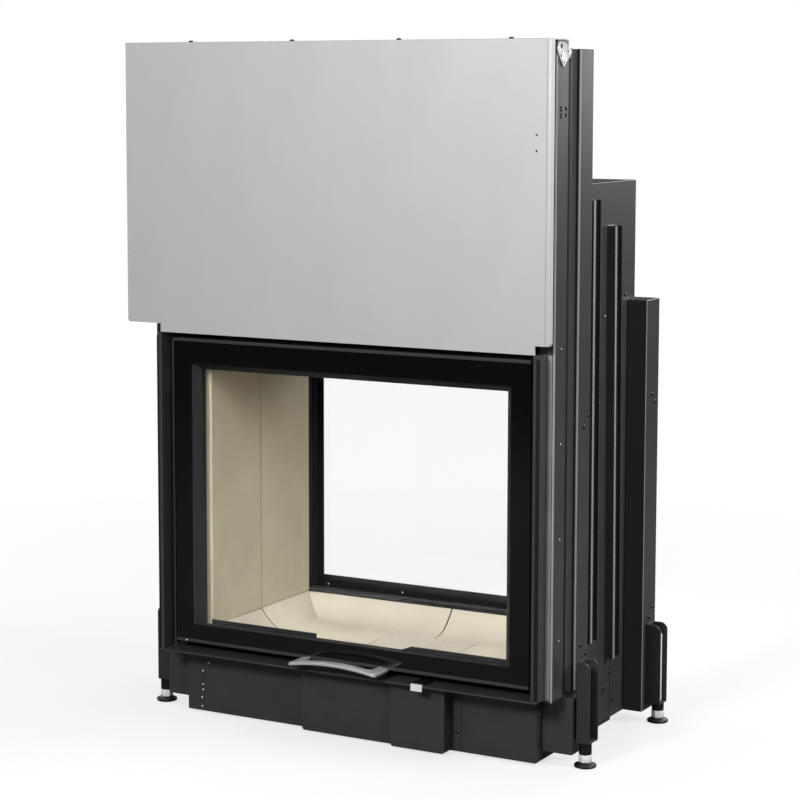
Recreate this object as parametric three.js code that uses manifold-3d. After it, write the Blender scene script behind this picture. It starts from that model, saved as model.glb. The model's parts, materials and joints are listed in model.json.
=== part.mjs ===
// Double-sided fireplace insert: a glass door that lifts at the front, a hinged glass door at the rear.
// Millimetres, +X to the right seen from the front, +Y from the front to the rear, +Z up.
// Inside the assembly the front face of the lifting door is the plane y = 0 and the floor is z = 0.
import * as THREE from "three";
import { mergeVertices } from "three/addons/utils/BufferGeometryUtils.js";
import Module from "manifold-3d";

const wasm = await Module();
wasm.setup();

// Fits and sheet thicknesses
const seat = 0.3; // gap between two pieces that touch
const running = 0.5; // gap round a piece that turns or slides
const overrun = 8; // how far a cutter passes the face it opens
const sheet = 3; // body and frame sheet
const lightSheet = 2; // columns, air box and top beam
const coverSheet = 1.5; // front cover panel
const roundSides = 24; // facets of a small round piece
const wideSides = 40; // facets of a wide round piece
const hexSides = 6; // facets of a nut
const holeSides = 12; // facets of a screw hole
const curveSteps = 8; // segments of each arc in an outline

// Lifting door, the size that the rest is fitted to
const door = {
  width: 650,
  height: 509,
  bottom: 127,
  depth: 26,
  trim: 5.5,
  glass: 4,
  glassSetback: 0.7,
  sideBar: 45,
  bottomBar: 28,
  topBar: 51,
  wall: 2,
  ventWidth: 4,
  ventInset: 90,
  travel: 450,
};
door.half = door.width / 2;
door.top = door.bottom + door.height;
door.barFront = door.glassSetback + door.glass + seat;

const seal = { width: 11, depth: 5.4, inset: 1.5 };

// Bow handle on the bottom edge of the lifting door
const handle = {
  halfWidth: 80,
  reach: 46,
  barDepth: 17,
  armWidth: 16.5,
  thickness: 4.6,
  rise: 7.6,
  drop: 2.5,
  steps: 20,
};

// Side columns that guide the door and hide the counterweights
const column = {
  gap: 9,
  width: 24,
  front: 12,
  depth: 41,
  bottom: 108,
  top: 1113,
  grooveDepth: 44,
  grooveSet: 6,
  weightDepth: 47.7,
  weightDrop: 10,
};
column.weightTop = column.top - column.weightDrop;
column.inner = door.half + column.gap;
column.outer = column.inner + column.width;
column.rear = column.front + column.depth;
column.weightFront = column.rear + column.grooveDepth + seat;
column.weightRear = column.weightFront + column.weightDepth;

// Surround: the two proud strips beside the door and the shelf below it
const surround = {
  inset: 3,
  stripWidth: 9,
  front: -19,
  shelfTop: 114.5,
};
surround.inner = column.inner + surround.inset;
surround.outer = surround.inner + surround.stripWidth;

// Cover panel in front of the raised door
const cover = {
  left: 402,
  right: 363,
  bottom: 660.5,
  flange: 14.5,
  tongueLeft: 337,
  tongueRight: 341,
  tongueDrop: 14,
  holeRadius: 1.6,
  holeInset: 22.5,
  holeTop: 142,
  holePitch: 24,
};
cover.front = surround.front - seat - coverSheet;
surround.top = cover.bottom - cover.tongueDrop - seat;
const beam = { plate: 2, drop: 22, web: 2 };
const beamBottom = column.top + seat;
cover.top = beamBottom + beam.plate + seat + coverSheet;

// Pulley, cable and counterweight of each side
const pulley = {
  radius: 41.5,
  rim: 44,
  width: 10,
  bore: 4,
  hubRadius: 11,
  hubExtra: 0.5,
  inset: 3.5,
  centreDrop: 53,
  setBack: 1,
};
const cableRadius = 1.5;
pulley.groove = pulley.radius - cableRadius - seat;
pulley.x = column.inner + pulley.width / 2 + pulley.inset;
pulley.y = (column.front + column.weightRear) / 2 + pulley.setBack;
pulley.z = column.top - pulley.centreDrop;
const cable = { sides: 8, steps: 24 };
const axle = { plateDepth: 26, plateHeight: 60, plate: 1 };
const weight = { side: 1.5, height: 420, belowPulley: 60, bevel: 6 };
weight.top = pulley.z - weight.belowPulley;
const hanger = { width: 16, depth: 26, front: 15, armDepth: 11, bottom: 545, top: 580 };

// Firebox front frame, the ring that the lifting door closes on
const frontFrame = { depth: 24, bar: 22.7, bottomBar: 25.2, top: 650, topBar: 38 };
frontFrame.front = door.depth + seat + seal.depth + seat;
frontFrame.rear = frontFrame.front + frontFrame.depth;
frontFrame.bottom = surround.shelfTop + seat;
frontFrame.half = column.inner - seat;

// Firebox shell and its lining
const shell = {
  rearHalf: 341,
  rear: 357,
  skirtBottom: 20,
  floorTop: 81,
  top: 896,
  windowTop: 640,
  flueRadius: 90,
  flueY: 215,
};
shell.front = frontFrame.rear + seat;
shell.frontHalf = column.inner - seat;
shell.stepY = column.weightRear + seat;
const rail = { reach: 15, thickness: 2, lip: 10, backLip: 4, span: 31, embed: 1 };
const frontRail = { y: 156, bottom: 168, top: 871, lean: 4 };
const rearRail = { y: 240, bottom: 124, top: 827, lean: 10 };
const rails = [frontRail, rearRail];
const lining = {
  half: 278,
  tile: 30,
  setBack: 1,
  edge: 148,
  top: 600,
  bowl: 109,
  flank: 62,
  frontFlank: 42,
  flankSteps: 6,
  joint: 1.2,
  jointX: 10,
  plateHalf: 82,
};
lining.front = frontFrame.front + lining.setBack;
lining.hearthFront = shell.front;
lining.rear = shell.rear - sheet - seat;
lining.outer = lining.half + lining.tile;
lining.middle = (lining.front + lining.rear) / 2;
lining.flankPower = 1.5;
const baffle = { thickness: 25, frontGap: 45, rearGap: 45 };
const guard = { thickness: 3, height: 21, recess: 7, recessHalf: 83, recessRight: 8, slope: 18, side: 2 };
const flue = { wall: 3, height: 62, flange: 20 };

// Plinth with the air box in front of it
const plinth = { half: 323, front: 32, rear: 320, bottom: 2.5, inlet: 62, inletY: 190 };
plinth.lowTop = shell.floorTop - sheet - seat;
plinth.riserTop = surround.shelfTop - sheet - seat;
plinth.riserRear = frontFrame.rear;
const airBox = { wideReach: 90, seam: 80, coverReach: 177, wideFront: 15, coverFront: 5, bottom: 3 };
const damper = { left: 96, right: 166, bottom: 52, height: 44, margin: 8, travelIn: 45, travelOut: 8 };
const lever = { x: 141, width: 20, thickness: 2, front: -22, tabDrop: 9, legY: 21, legDrop: 60 };
const damperPlate = {
  x: [damper.left - damper.margin / 2, airBox.coverReach - lightSheet - damper.travelOut - running],
  y: [plinth.front - running - lever.thickness, plinth.front - running],
  z: [damper.bottom - damper.margin, damper.bottom + damper.height + damper.margin],
};

// Rear frame and rear door
const rearFrame = { flange: 35, lap: 31, depth: 53, bottom: 21, top: 703 };
rearFrame.half = shell.rearHalf + rearFrame.flange;
rearFrame.front = shell.rear - rearFrame.lap;
rearFrame.rear = rearFrame.front + rearFrame.depth;
const rearWindow = { half: 286.5, bottom: 149, top: 590 };
const rearSill = { thickness: 3, side: 2, recess: 17, recessHalf: 92, slope: 14 };
const rearDoor = {
  sideBar: 35,
  crossBar: 33,
  gap: 4,
  depth: 20,
  glass: 4,
  glassLap: 12,
  wall: 3,
  ventInset: 60,
  ventWidth: 4,
};
rearDoor.half = rearWindow.half + rearDoor.sideBar;
rearDoor.bottom = rearWindow.bottom - rearDoor.crossBar;
rearDoor.top = rearWindow.top + rearDoor.crossBar;
rearDoor.front = rearFrame.rear + rearDoor.gap;
rearDoor.rear = rearDoor.front + rearDoor.depth;
const hinge = {
  fromDoor: 8,
  fromFace: 9,
  pin: 4,
  ear: 8,
  earHeight: 20,
  blockHeight: 15,
  blockBack: 10,
  blockFront: 4,
  blockReach: 6,
  inset: 10,
};
hinge.x = -(rearDoor.half + hinge.fromDoor);
hinge.y = rearDoor.front + hinge.fromFace;
const rearHandle = {
  inset: 19,
  bossRadius: 12,
  bossLength: 18,
  armLength: 128,
  armRadius: 7,
  armLap: 4.5,
  armDepth: 23.5,
};
rearHandle.z = (rearDoor.bottom + rearDoor.top) / 2;
rearHandle.front = rearDoor.rear + seat;
rearHandle.armFront = rearHandle.front + rearHandle.bossLength - rearHandle.armLap;

// Feet, their brackets and the posts that carry the front pair
const foot = {
  reach: 15.2,
  frontY: 66,
  rearY: 358,
  discRadius: 17.5,
  discHeight: 8,
  rimHeight: 3,
  nutRadius: 10.8,
  nutTop: 20,
  sleeveRadius: 10,
  spindle: 6,
  spindleTop: 150,
  hole: 6.3,
};
const bracket = { top: 166, reach: 26, corner: 12, padInset: 6 };
const post = { front: 50, rear: 92, width: 42, bottom: 19 };
post.inner = shell.frontHalf + seat;
post.outer = post.inner + post.width;
const frontEnd = { name: "front", y: foot.frontY, before: 10, behind: 24, bottom: 38, pad: 4 };
const rearEnd = { name: "rear", y: foot.rearY, before: 19, behind: 12, bottom: 33, pad: 0 };
frontEnd.side = post.outer;
rearEnd.side = rearFrame.half;
const ends = [frontEnd, rearEnd];
for (const end of ends) {
  end.seatX = end.side + seat;
  end.footX = end.seatX + foot.reach;
}

// How far the assembly is moved so that its origin is under the middle of its box
const frontReach = handle.reach;
const rearReach = rearHandle.armFront + rearHandle.armDepth;
const centreShift = (frontReach - rearReach) / 2;

const colours = {
  galvanised: [0xb9babb, 0.42, 0.75],
  anthracite: [0x4a4b4d, 0.55, 0.35],
  blackPaint: [0x1c1c1e, 0.6, 0.2],
  chamotte: [0xd8cfb6, 0.9, 0],
  vermiculite: [0xb9a98a, 0.95, 0],
  glassPane: [0x2a2d2e, 0.08, 0],
  rope: [0x8b8a84, 0.95, 0],
  brushed: [0xc3c5c7, 0.3, 0.95],
  zinc: [0xc8cbcc, 0.35, 0.9],
  steel: [0x8d8f92, 0.4, 0.85],
};

// Turns a closed geometry into a solid with its faces outwards.
function solidOf(geometry) {
  const bare = geometry.clone();
  bare.deleteAttribute("normal");
  bare.deleteAttribute("uv");
  const merged = mergeVertices(bare);
  const vertProperties = new Float32Array(merged.attributes.position.array);
  const triVerts = new Uint32Array(merged.index.array);
  const made = new wasm.Manifold(new wasm.Mesh({ numProp: 3, vertProperties, triVerts }));
  if (made.volume() >= 0) return made;
  for (let i = 0; i < triVerts.length; i += 3) {
    [triVerts[i + 1], triVerts[i + 2]] = [triVerts[i + 2], triVerts[i + 1]];
  }
  return new wasm.Manifold(new wasm.Mesh({ numProp: 3, vertProperties, triVerts }));
}

function geometryOf(solid) {
  const mesh = solid.getMesh();
  const geometry = new THREE.BufferGeometry();
  geometry.setAttribute("position", new THREE.BufferAttribute(mesh.vertProperties, mesh.numProp));
  geometry.setIndex(new THREE.BufferAttribute(mesh.triVerts, 1));
  const flat = geometry.toNonIndexed();
  flat.computeVertexNormals();
  return flat;
}

function join(...solids) {
  return solids.reduce((whole, piece) => whole.add(piece));
}

function cut(whole, ...cutters) {
  return cutters.reduce((left, cutter) => left.subtract(cutter), whole);
}

// Box between two values on each axis, given in either order.
function block(x, y, z) {
  const size = [x, y, z].map(([a, b]) => Math.abs(b - a));
  const middle = [x, y, z].map(([a, b]) => (a + b) / 2);
  return solidOf(new THREE.BoxGeometry(...size).translate(...middle));
}

function extruded(shape, length) {
  const options = { depth: length, bevelEnabled: false, curveSegments: curveSteps };
  return new THREE.ExtrudeGeometry(shape, options);
}

function shapeOf(points) {
  return new THREE.Shape(points.map(([a, b]) => new THREE.Vector2(a, b)));
}

// Outline in X and Y, raised from one height to another.
function prismZ(shape, from, to) {
  return solidOf(extruded(shape, to - from).translate(0, 0, from));
}

// Outline in X and Z, carried from one depth to another.
function prismY(shape, from, to) {
  return solidOf(extruded(shape, to - from).rotateX(Math.PI / 2).translate(0, to, 0));
}

function rodZ(x, y, from, to, radius, sides = roundSides) {
  const geometry = new THREE.CylinderGeometry(radius, radius, to - from, sides);
  return solidOf(geometry.rotateX(Math.PI / 2).translate(x, y, (from + to) / 2));
}

function rodX(from, to, y, z, radius, sides = roundSides) {
  const geometry = new THREE.CylinderGeometry(radius, radius, Math.abs(to - from), sides);
  return solidOf(geometry.rotateZ(Math.PI / 2).translate((from + to) / 2, y, z));
}

function rodY(x, from, to, z, radius, sides = roundSides) {
  const geometry = new THREE.CylinderGeometry(radius, radius, to - from, sides);
  return solidOf(geometry.translate(x, (from + to) / 2, z));
}

// Solid of revolution about a vertical line, from points of radius and height.
function turned(points, x, y, sides) {
  const profile = points.map(([r, h]) => new THREE.Vector2(r, h));
  return solidOf(new THREE.LatheGeometry(profile, sides).rotateX(Math.PI / 2).translate(x, y, 0));
}

// Rectangle ring in X and Z: outer bounds less inner bounds, over a depth.
function ring(outer, inner, y) {
  const outside = block(outer.x, y, outer.z);
  return cut(outside, block(inner.x, [y[0] - overrun, y[1] + overrun], inner.z));
}

const assembly = new THREE.Group();
const groups = {};

function group(name) {
  groups[name] ??= new THREE.Group();
  if (!groups[name].parent) assembly.add(groups[name]);
  return groups[name];
}

function place(groupName, name, solid, finish) {
  const [color, roughness, metalness] = colours[finish];
  const material = new THREE.MeshStandardMaterial({ color, roughness, metalness });
  const mesh = new THREE.Mesh(geometryOf(solid), material);
  mesh.name = name;
  group(groupName).add(mesh);
}

const sides = [
  ["left", -1],
  ["right", 1],
];

// Base of the insert

function plinthBox() {
  const low = block(
    [-plinth.half, plinth.half],
    [plinth.front, plinth.rear],
    [plinth.bottom, plinth.lowTop],
  );
  const riser = block(
    [-plinth.half, plinth.half],
    [plinth.front, plinth.riserRear],
    [plinth.bottom, plinth.riserTop],
  );
  const inHalf = plinth.half - sheet;
  const inFront = plinth.front + sheet;
  const inBottom = plinth.bottom + sheet;
  const hollowLow = block(
    [-inHalf, inHalf],
    [inFront, plinth.rear - sheet],
    [inBottom, plinth.lowTop - sheet],
  );
  const hollowRiser = block(
    [-inHalf, inHalf],
    [inFront, plinth.riserRear - sheet],
    [inBottom, plinth.riserTop - sheet],
  );
  const inlet = rodZ(0, plinth.inletY, plinth.bottom - overrun, inBottom + sheet, plinth.inlet, wideSides);
  const port = block(
    [damper.left, damper.right],
    [plinth.front - overrun, inFront + sheet],
    [damper.bottom, damper.bottom + damper.height],
  );
  return cut(join(low, riser), hollowLow, hollowRiser, inlet, port);
}

// Folded box, open at the back, that hangs in front of the plinth. The slit lets the air plate through the seam.
function openBox(left, right, front, slot) {
  const rear = plinth.front - seat;
  const outside = block([left, right], [front, rear], [airBox.bottom, plinth.riserTop]);
  const hollow = block(
    [left + lightSheet, right - lightSheet],
    [front + lightSheet, rear + overrun],
    [airBox.bottom + lightSheet, plinth.riserTop - lightSheet],
  );
  const slit = block(
    [airBox.seam - seat - lightSheet - running, airBox.seam + lightSheet + running],
    [damperPlate.y[0] - running, rear + overrun],
    [damperPlate.z[0] - running, damperPlate.z[1] + running],
  );
  const box = cut(outside, hollow, slit);
  return slot ? cut(box, slot) : box;
}

const leverReach = {
  x: [
    lever.x - lever.width / 2 - damper.travelIn - running,
    lever.x + lever.width / 2 + damper.travelOut + running,
  ],
  y: [lever.legY - running, lever.legY + lever.thickness + running],
};

function leverSlot(from, to) {
  return block(leverReach.x, leverReach.y, [from, to]);
}

function buildBase() {
  place("base", "plinth_box", plinthBox(), "anthracite");
  const seam = airBox.seam;
  place("base", "air_box", openBox(-airBox.wideReach, seam - seat, airBox.wideFront), "anthracite");
  const slot = leverSlot(plinth.riserTop - lightSheet - overrun, plinth.riserTop + overrun);
  place("base", "air_box_cover", openBox(seam, airBox.coverReach, airBox.coverFront, slot), "anthracite");
  for (const [name, side] of sides) {
    const inner = side * post.inner;
    const outer = side * post.outer;
    const top = column.bottom - seat;
    const wide = block([inner, outer], [post.front, post.rear], [post.bottom, top]);
    const lapX = [side * (plinth.half + seat), outer];
    const lap = block(lapX, [post.front, frontFrame.rear], [post.bottom, top]);
    const outside = join(wide, lap);
    const hollow = block(
      [inner + side * sheet, outer - side * sheet],
      [post.front + sheet, post.rear - sheet],
      [post.bottom - overrun, top - sheet],
    );
    place("base", "foot_post_" + name, cut(outside, hollow), "anthracite");
  }
}

// Feet

// Channel that opens outwards; at the front it stands off the post on a pad.
function footBracket(side, end) {
  const { y, bottom, pad, seatX } = end;
  const front = y - end.before;
  const rear = y + end.behind;
  const web = seatX + pad;
  const outer = seatX + bracket.reach;
  const shape = new THREE.Shape();
  shape.moveTo(side * web, bottom);
  shape.lineTo(side * outer, bottom);
  shape.lineTo(side * outer, bracket.top - bracket.corner);
  const inner = side * (outer - bracket.corner);
  const turn = side > 0 ? [0, Math.PI / 2, false] : [Math.PI, Math.PI / 2, true];
  shape.absarc(inner, bracket.top - bracket.corner, bracket.corner, ...turn);
  shape.lineTo(side * web, bracket.top);
  const cheeks = prismY(shape, front, rear);
  const hollow = block(
    [side * (web + sheet), side * (outer + overrun)],
    [front + sheet, rear - sheet],
    [bottom + sheet, bracket.top + overrun],
  );
  const hole = rodZ(side * end.footX, y, bottom - overrun, bottom + sheet + overrun, foot.hole);
  const channel = cut(cheeks, hollow, hole);
  if (!pad) return channel;
  const inset = bracket.padInset;
  const padX = [side * seatX, side * (web + sheet / 2)];
  return join(channel, block(padX, [front + inset, rear - inset], [bottom + inset, bracket.top - inset]));
}

function footSolid(side, { y, bottom, footX }) {
  const x = side * footX;
  const disc = turned(
    [
      [0, 0],
      [foot.discRadius - foot.rimHeight, 0],
      [foot.discRadius, foot.rimHeight],
      [foot.nutRadius, foot.discHeight],
      [0, foot.discHeight],
    ],
    x,
    y,
    roundSides,
  );
  const under = foot.discHeight - foot.rimHeight;
  const nut = rodZ(x, y, under, foot.nutTop, foot.nutRadius, hexSides);
  const sleeve = rodZ(x, y, foot.nutTop - foot.rimHeight, bottom - seat, foot.sleeveRadius);
  const spindle = rodZ(x, y, under, foot.spindleTop, foot.spindle);
  return join(disc, nut, sleeve, spindle);
}

function buildFeet() {
  for (const [name, side] of sides) {
    for (const end of ends) {
      place("feet", "foot_bracket_" + end.name + "_" + name, footBracket(side, end), "blackPaint");
      place("feet", "foot_" + end.name + "_" + name, footSolid(side, end), "blackPaint");
    }
  }
}

// Front: surround, cover and top beam

function surroundFrame() {
  const shelf = block(
    [-surround.outer, surround.outer],
    [surround.front, frontFrame.front - seat],
    [surround.shelfTop - sheet, surround.shelfTop],
  );
  const strips = sides.map(([, side]) =>
    block(
      [side * surround.inner, side * surround.outer],
      [surround.front, column.front - seat],
      [surround.shelfTop - sheet, surround.top],
    ),
  );
  const columnRooms = sides.map(([, side]) =>
    block(
      [side * (column.inner - seat), side * (surround.outer + overrun)],
      [column.front - seat, frontFrame.rear],
      [column.bottom, surround.top],
    ),
  );
  const slot = leverSlot(surround.shelfTop - sheet - overrun, surround.shelfTop + overrun);
  return cut(join(shelf, ...strips), ...columnRooms, slot);
}

function coverPanel() {
  const front = cover.front;
  const panel = block([-cover.left, cover.right], [front, front + coverSheet], [cover.bottom, cover.top]);
  const tongue = block(
    [-cover.tongueLeft, cover.tongueRight],
    [front, front + coverSheet],
    [cover.bottom - cover.tongueDrop, cover.bottom + overrun],
  );
  const flanges = [
    [-cover.left, coverSheet - cover.left],
    [cover.right - coverSheet, cover.right],
  ].map((x) => block(x, [front, front + cover.flange], [cover.bottom, cover.top]));
  const topFlange = block(
    [-column.outer, column.outer],
    [front, column.rear],
    [cover.top - coverSheet, cover.top],
  );
  const holeX = cover.right - cover.holeInset;
  const holeZ = cover.top - cover.holeTop;
  const holes = [0, cover.holePitch].map((drop) =>
    rodY(holeX, front - overrun, front + overrun, holeZ - drop, cover.holeRadius, holeSides),
  );
  return cut(join(panel, tongue, ...flanges, topFlange), ...holes);
}

function topBeam() {
  const plate = block(
    [-column.outer, column.outer],
    [column.front, column.rear],
    [beamBottom, beamBottom + beam.plate],
  );
  const webX = [-frontFrame.half, frontFrame.half];
  const webZ = [beamBottom - beam.drop, beamBottom + beam.plate];
  const webs = [column.front, column.rear - beam.web].map((y) => block(webX, [y, y + beam.web], webZ));
  return join(plate, ...webs);
}

function buildFront() {
  place("front", "front_surround", surroundFrame(), "anthracite");
  place("front", "cover_panel", coverPanel(), "galvanised");
  place("front", "top_beam", topBeam(), "anthracite");
}

// Columns, pulleys, cables and counterweights

const pulleyRoom = {
  x: column.outer - column.grooveSet - lightSheet,
  bottom: pulley.z - pulley.rim - lightSheet,
};

function guideColumn(side) {
  const inner = column.inner;
  const webOuter = column.outer - column.grooveSet;
  const z = [column.bottom, column.top];
  const outside = block([side * inner, side * column.outer], [column.front, column.rear], z);
  const channel = block(
    [side * (inner - overrun), side * (column.outer - lightSheet)],
    [column.front + lightSheet, column.rear - lightSheet],
    [column.bottom - overrun, column.top + overrun],
  );
  const web = block(
    [side * (webOuter - lightSheet), side * webOuter],
    [column.rear - lightSheet, column.weightFront - seat],
    [column.bottom, column.weightTop],
  );
  const room = block(
    [side * (inner - overrun), side * pulleyRoom.x],
    [column.front + lightSheet, column.weightFront],
    [pulleyRoom.bottom, column.top + overrun],
  );
  return cut(join(outside, web), channel, room);
}

function weightChannel(side) {
  const inner = column.inner;
  const outside = block(
    [side * inner, side * column.outer],
    [column.weightFront, column.weightRear],
    [column.bottom, column.weightTop],
  );
  const bore = block(
    [side * (inner + lightSheet), side * (column.outer - lightSheet)],
    [column.weightFront + lightSheet, column.weightRear - lightSheet],
    [column.bottom - overrun, column.weightTop + overrun],
  );
  const room = block(
    [side * (inner - overrun), side * pulleyRoom.x],
    [column.weightFront - overrun, column.weightRear - lightSheet],
    [pulleyRoom.bottom, column.weightTop + overrun],
  );
  return cut(outside, bore, room);
}

function pulleySolid(side) {
  const half = pulley.width / 2;
  const hub = half + pulley.hubExtra;
  const points = [
    [pulley.bore + running, -hub],
    [pulley.hubRadius, -hub],
    [pulley.hubRadius, -half],
    [pulley.rim, -half],
    [pulley.groove, -cableRadius - seat],
    [pulley.groove, cableRadius + seat],
    [pulley.rim, half],
    [pulley.hubRadius, half],
    [pulley.hubRadius, hub],
    [pulley.bore + running, hub],
    [pulley.bore + running, -hub],
  ].map(([r, h]) => new THREE.Vector2(r, h));
  const geometry = new THREE.LatheGeometry(points, wideSides).rotateZ(Math.PI / 2);
  return solidOf(geometry.translate(side * pulley.x, pulley.y, pulley.z));
}

// Pin of the pulley with the plate that holds it to the inner face of the column web.
function pulleyAxle(side) {
  const face = side * (pulleyRoom.x - seat);
  const plate = block(
    [face, face - side * axle.plate],
    [pulley.y - axle.plateDepth / 2, pulley.y + axle.plateDepth / 2],
    [pulley.z - axle.plateHeight / 2, pulley.z + axle.plateHeight / 2],
  );
  const inner = side * (pulley.x - pulley.width / 2 - pulley.hubExtra);
  return join(plate, rodX(inner, face - (side * axle.plate) / 2, pulley.y, pulley.z, pulley.bore));
}

class HalfTurn extends THREE.Curve {
  constructor(x, y, z, radius) {
    super();
    Object.assign(this, { x, y, z, radius });
  }
  getPoint(share, target = new THREE.Vector3()) {
    const angle = Math.PI * (1 - share);
    const alongY = this.radius * Math.cos(angle);
    const alongZ = this.radius * Math.sin(angle);
    return target.set(this.x, this.y + alongY, this.z + alongZ);
  }
}

function cableArc(side) {
  const path = new HalfTurn(side * pulley.x, pulley.y, pulley.z, pulley.radius);
  const section = new THREE.Shape();
  section.absarc(0, 0, cableRadius, 0, 2 * Math.PI);
  const outline = new THREE.Shape(section.getSpacedPoints(cable.sides).slice(0, cable.sides));
  return solidOf(new THREE.ExtrudeGeometry(outline, { steps: cable.steps, extrudePath: path }));
}

function counterweight(side) {
  const x = [column.inner + lightSheet + weight.side, column.outer - lightSheet - weight.side];
  const y = [column.weightFront + lightSheet + weight.side, column.weightRear - lightSheet - weight.side];
  const bodyZ = [weight.top - weight.height, weight.top - weight.bevel];
  const body = block([side * x[0], side * x[1]], y, bodyZ);
  const cap = block(
    [side * (x[0] + weight.bevel), side * (x[1] - weight.bevel / 2)],
    [y[0] + weight.bevel, y[1] - weight.bevel],
    [weight.top - weight.height / 2, weight.top],
  );
  return join(body, cap);
}

function buildLift() {
  const doorCableY = pulley.y - pulley.radius;
  const weightCableY = pulley.y + pulley.radius;
  for (const [name, side] of sides) {
    const x = side * pulley.x;
    const top = pulley.z - seat;
    place("lift", "guide_column_" + name, guideColumn(side), "anthracite");
    place("lift", "weight_channel_" + name, weightChannel(side), "anthracite");
    place("lift", "pulley_axle_" + name, pulleyAxle(side), "zinc");
    place("lift", "pulley_" + name, pulleySolid(side), "steel");
    place("lift", "cable_over_pulley_" + name, cableArc(side), "steel");
    const doorRun = rodZ(x, doorCableY, hanger.top + seat, top, cableRadius, cable.sides);
    place("lift", "cable_to_door_" + name, doorRun, "steel");
    const weightRun = rodZ(x, weightCableY, weight.top + seat, top, cableRadius, cable.sides);
    place("lift", "cable_to_weight_" + name, weightRun, "steel");
    place("lift", "counterweight_" + name, counterweight(side), "steel");
  }
}

// Lifting door

function doorFrame() {
  const front = door.barFront;
  const window = {
    x: [-(door.half - door.sideBar), door.half - door.sideBar],
    z: [door.bottom + door.bottomBar, door.top - door.topBar],
  };
  const outer = { x: [-door.half, door.half], z: [door.bottom, door.top] };
  const bars = ring(outer, window, [front, door.depth]);
  const hollow = ring(
    {
      x: [-(door.half - door.wall), door.half - door.wall],
      z: [door.bottom + door.wall, door.top - door.wall],
    },
    {
      x: [window.x[0] - door.wall, window.x[1] + door.wall],
      z: [window.z[0] - door.wall, window.z[1] + door.wall],
    },
    [front + door.wall, door.depth - door.wall],
  );
  const middle = (front + door.depth) / 2;
  const slot = block(
    [-(door.half - door.ventInset), door.half - door.ventInset],
    [middle - door.ventWidth / 2, middle + door.ventWidth / 2],
    [door.top - door.wall - overrun, door.top + overrun],
  );
  const trims = [
    [door.bottom, door.bottom + door.trim],
    [door.top - door.trim, door.top],
  ].map((z) => block(outer.x, [0, front + door.wall], z));
  return join(cut(bars, hollow, slot), ...trims);
}

function doorGlass() {
  return block(
    [-door.half, door.half],
    [door.glassSetback, door.glassSetback + door.glass],
    [door.bottom + door.trim + seat, door.top - door.trim - seat],
  );
}

function doorSeal() {
  const half = door.half - seal.inset;
  const bottom = door.bottom + seal.inset;
  const top = door.top - seal.inset;
  const y = [door.depth + seat, door.depth + seat + seal.depth];
  const outer = { x: [-half, half], z: [bottom, top] };
  const inner = {
    x: [-(half - seal.width), half - seal.width],
    z: [bottom + seal.width, top - seal.width],
  };
  return ring(outer, inner, y);
}

// Arched bar with two arms that reach back to the bottom trim of the door.
function doorHandle() {
  const handleBottom = door.bottom - handle.drop;
  const positions = [];
  const triangles = [];
  const inner = handle.halfWidth - handle.armWidth;
  const section = [
    [-handle.reach, 0],
    [-handle.reach + handle.barDepth, 0],
    [-handle.reach + handle.barDepth, handle.thickness],
    [-handle.reach, handle.thickness],
  ];
  for (let i = 0; i <= handle.steps; i++) {
    const x = -handle.halfWidth + (2 * handle.halfWidth * i) / handle.steps;
    const low = handleBottom + handle.rise * Math.max(0, 1 - (x / handle.halfWidth) ** 2);
    for (const [y, z] of section) {
      positions.push(x, y, low + z);
    }
  }
  const corners = section.length;
  for (let i = 0; i < handle.steps; i++) {
    for (let k = 0; k < corners; k++) {
      const a = i * corners + k;
      const b = i * corners + ((k + 1) % corners);
      triangles.push(a, a + corners, b, b, a + corners, b + corners);
    }
  }
  const last = handle.steps * corners;
  triangles.push(0, 1, 2, 0, 2, 3, last, last + 2, last + 1, last, last + 3, last + 2);
  const geometry = new THREE.BufferGeometry();
  geometry.setAttribute("position", new THREE.Float32BufferAttribute(positions, 3));
  geometry.setIndex(triangles);
  const armTop = handleBottom + handle.rise * (1 - (inner / handle.halfWidth) ** 2) + handle.thickness;
  const arms = sides.map(([, side]) =>
    block(
      [side * inner, side * handle.halfWidth],
      [-handle.reach + handle.barDepth / 2, -seat],
      [handleBottom, armTop],
    ),
  );
  const underArms = handleBottom + handle.thickness;
  const flats = sides.map(([, side]) =>
    block(
      [side * (inner - overrun), side * (handle.halfWidth + overrun)],
      [-handle.reach + handle.barDepth, overrun],
      [underArms, armTop + overrun],
    ),
  );
  return join(solidOf(geometry), ...arms.map((arm, i) => cut(arm, flats[i])));
}

// Guide block in the column, bolted to the door's side, with the end of its cable.
function doorHanger(side) {
  const blockInner = side * (pulley.x - hanger.width / 2);
  const blockOuter = side * (pulley.x + hanger.width / 2);
  const z = [hanger.bottom, hanger.top];
  const guide = block([blockInner, blockOuter], [hanger.front, hanger.front + hanger.depth], z);
  const armX = [side * (door.half + seat), blockOuter];
  const arm = block(armX, [hanger.front, hanger.front + hanger.armDepth], z);
  return join(guide, arm);
}

function buildDoor() {
  place("door", "lift_door_frame", doorFrame(), "anthracite");
  place("door", "lift_door_glass", doorGlass(), "glassPane");
  place("door", "lift_door_seal", doorSeal(), "rope");
  place("door", "lift_door_handle", doorHandle(), "brushed");
  for (const [name, side] of sides) {
    place("door", "door_hanger_" + name, doorHanger(side), "steel");
  }
}

// Firebox

function frontFrameRing() {
  const outer = {
    x: [-frontFrame.half, frontFrame.half],
    z: [frontFrame.bottom, frontFrame.top],
  };
  const inner = {
    x: [-(frontFrame.half - frontFrame.bar), frontFrame.half - frontFrame.bar],
    z: [frontFrame.bottom + frontFrame.bottomBar, frontFrame.top - frontFrame.topBar],
  };
  return ring(outer, inner, [frontFrame.front, frontFrame.rear]);
}

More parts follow.
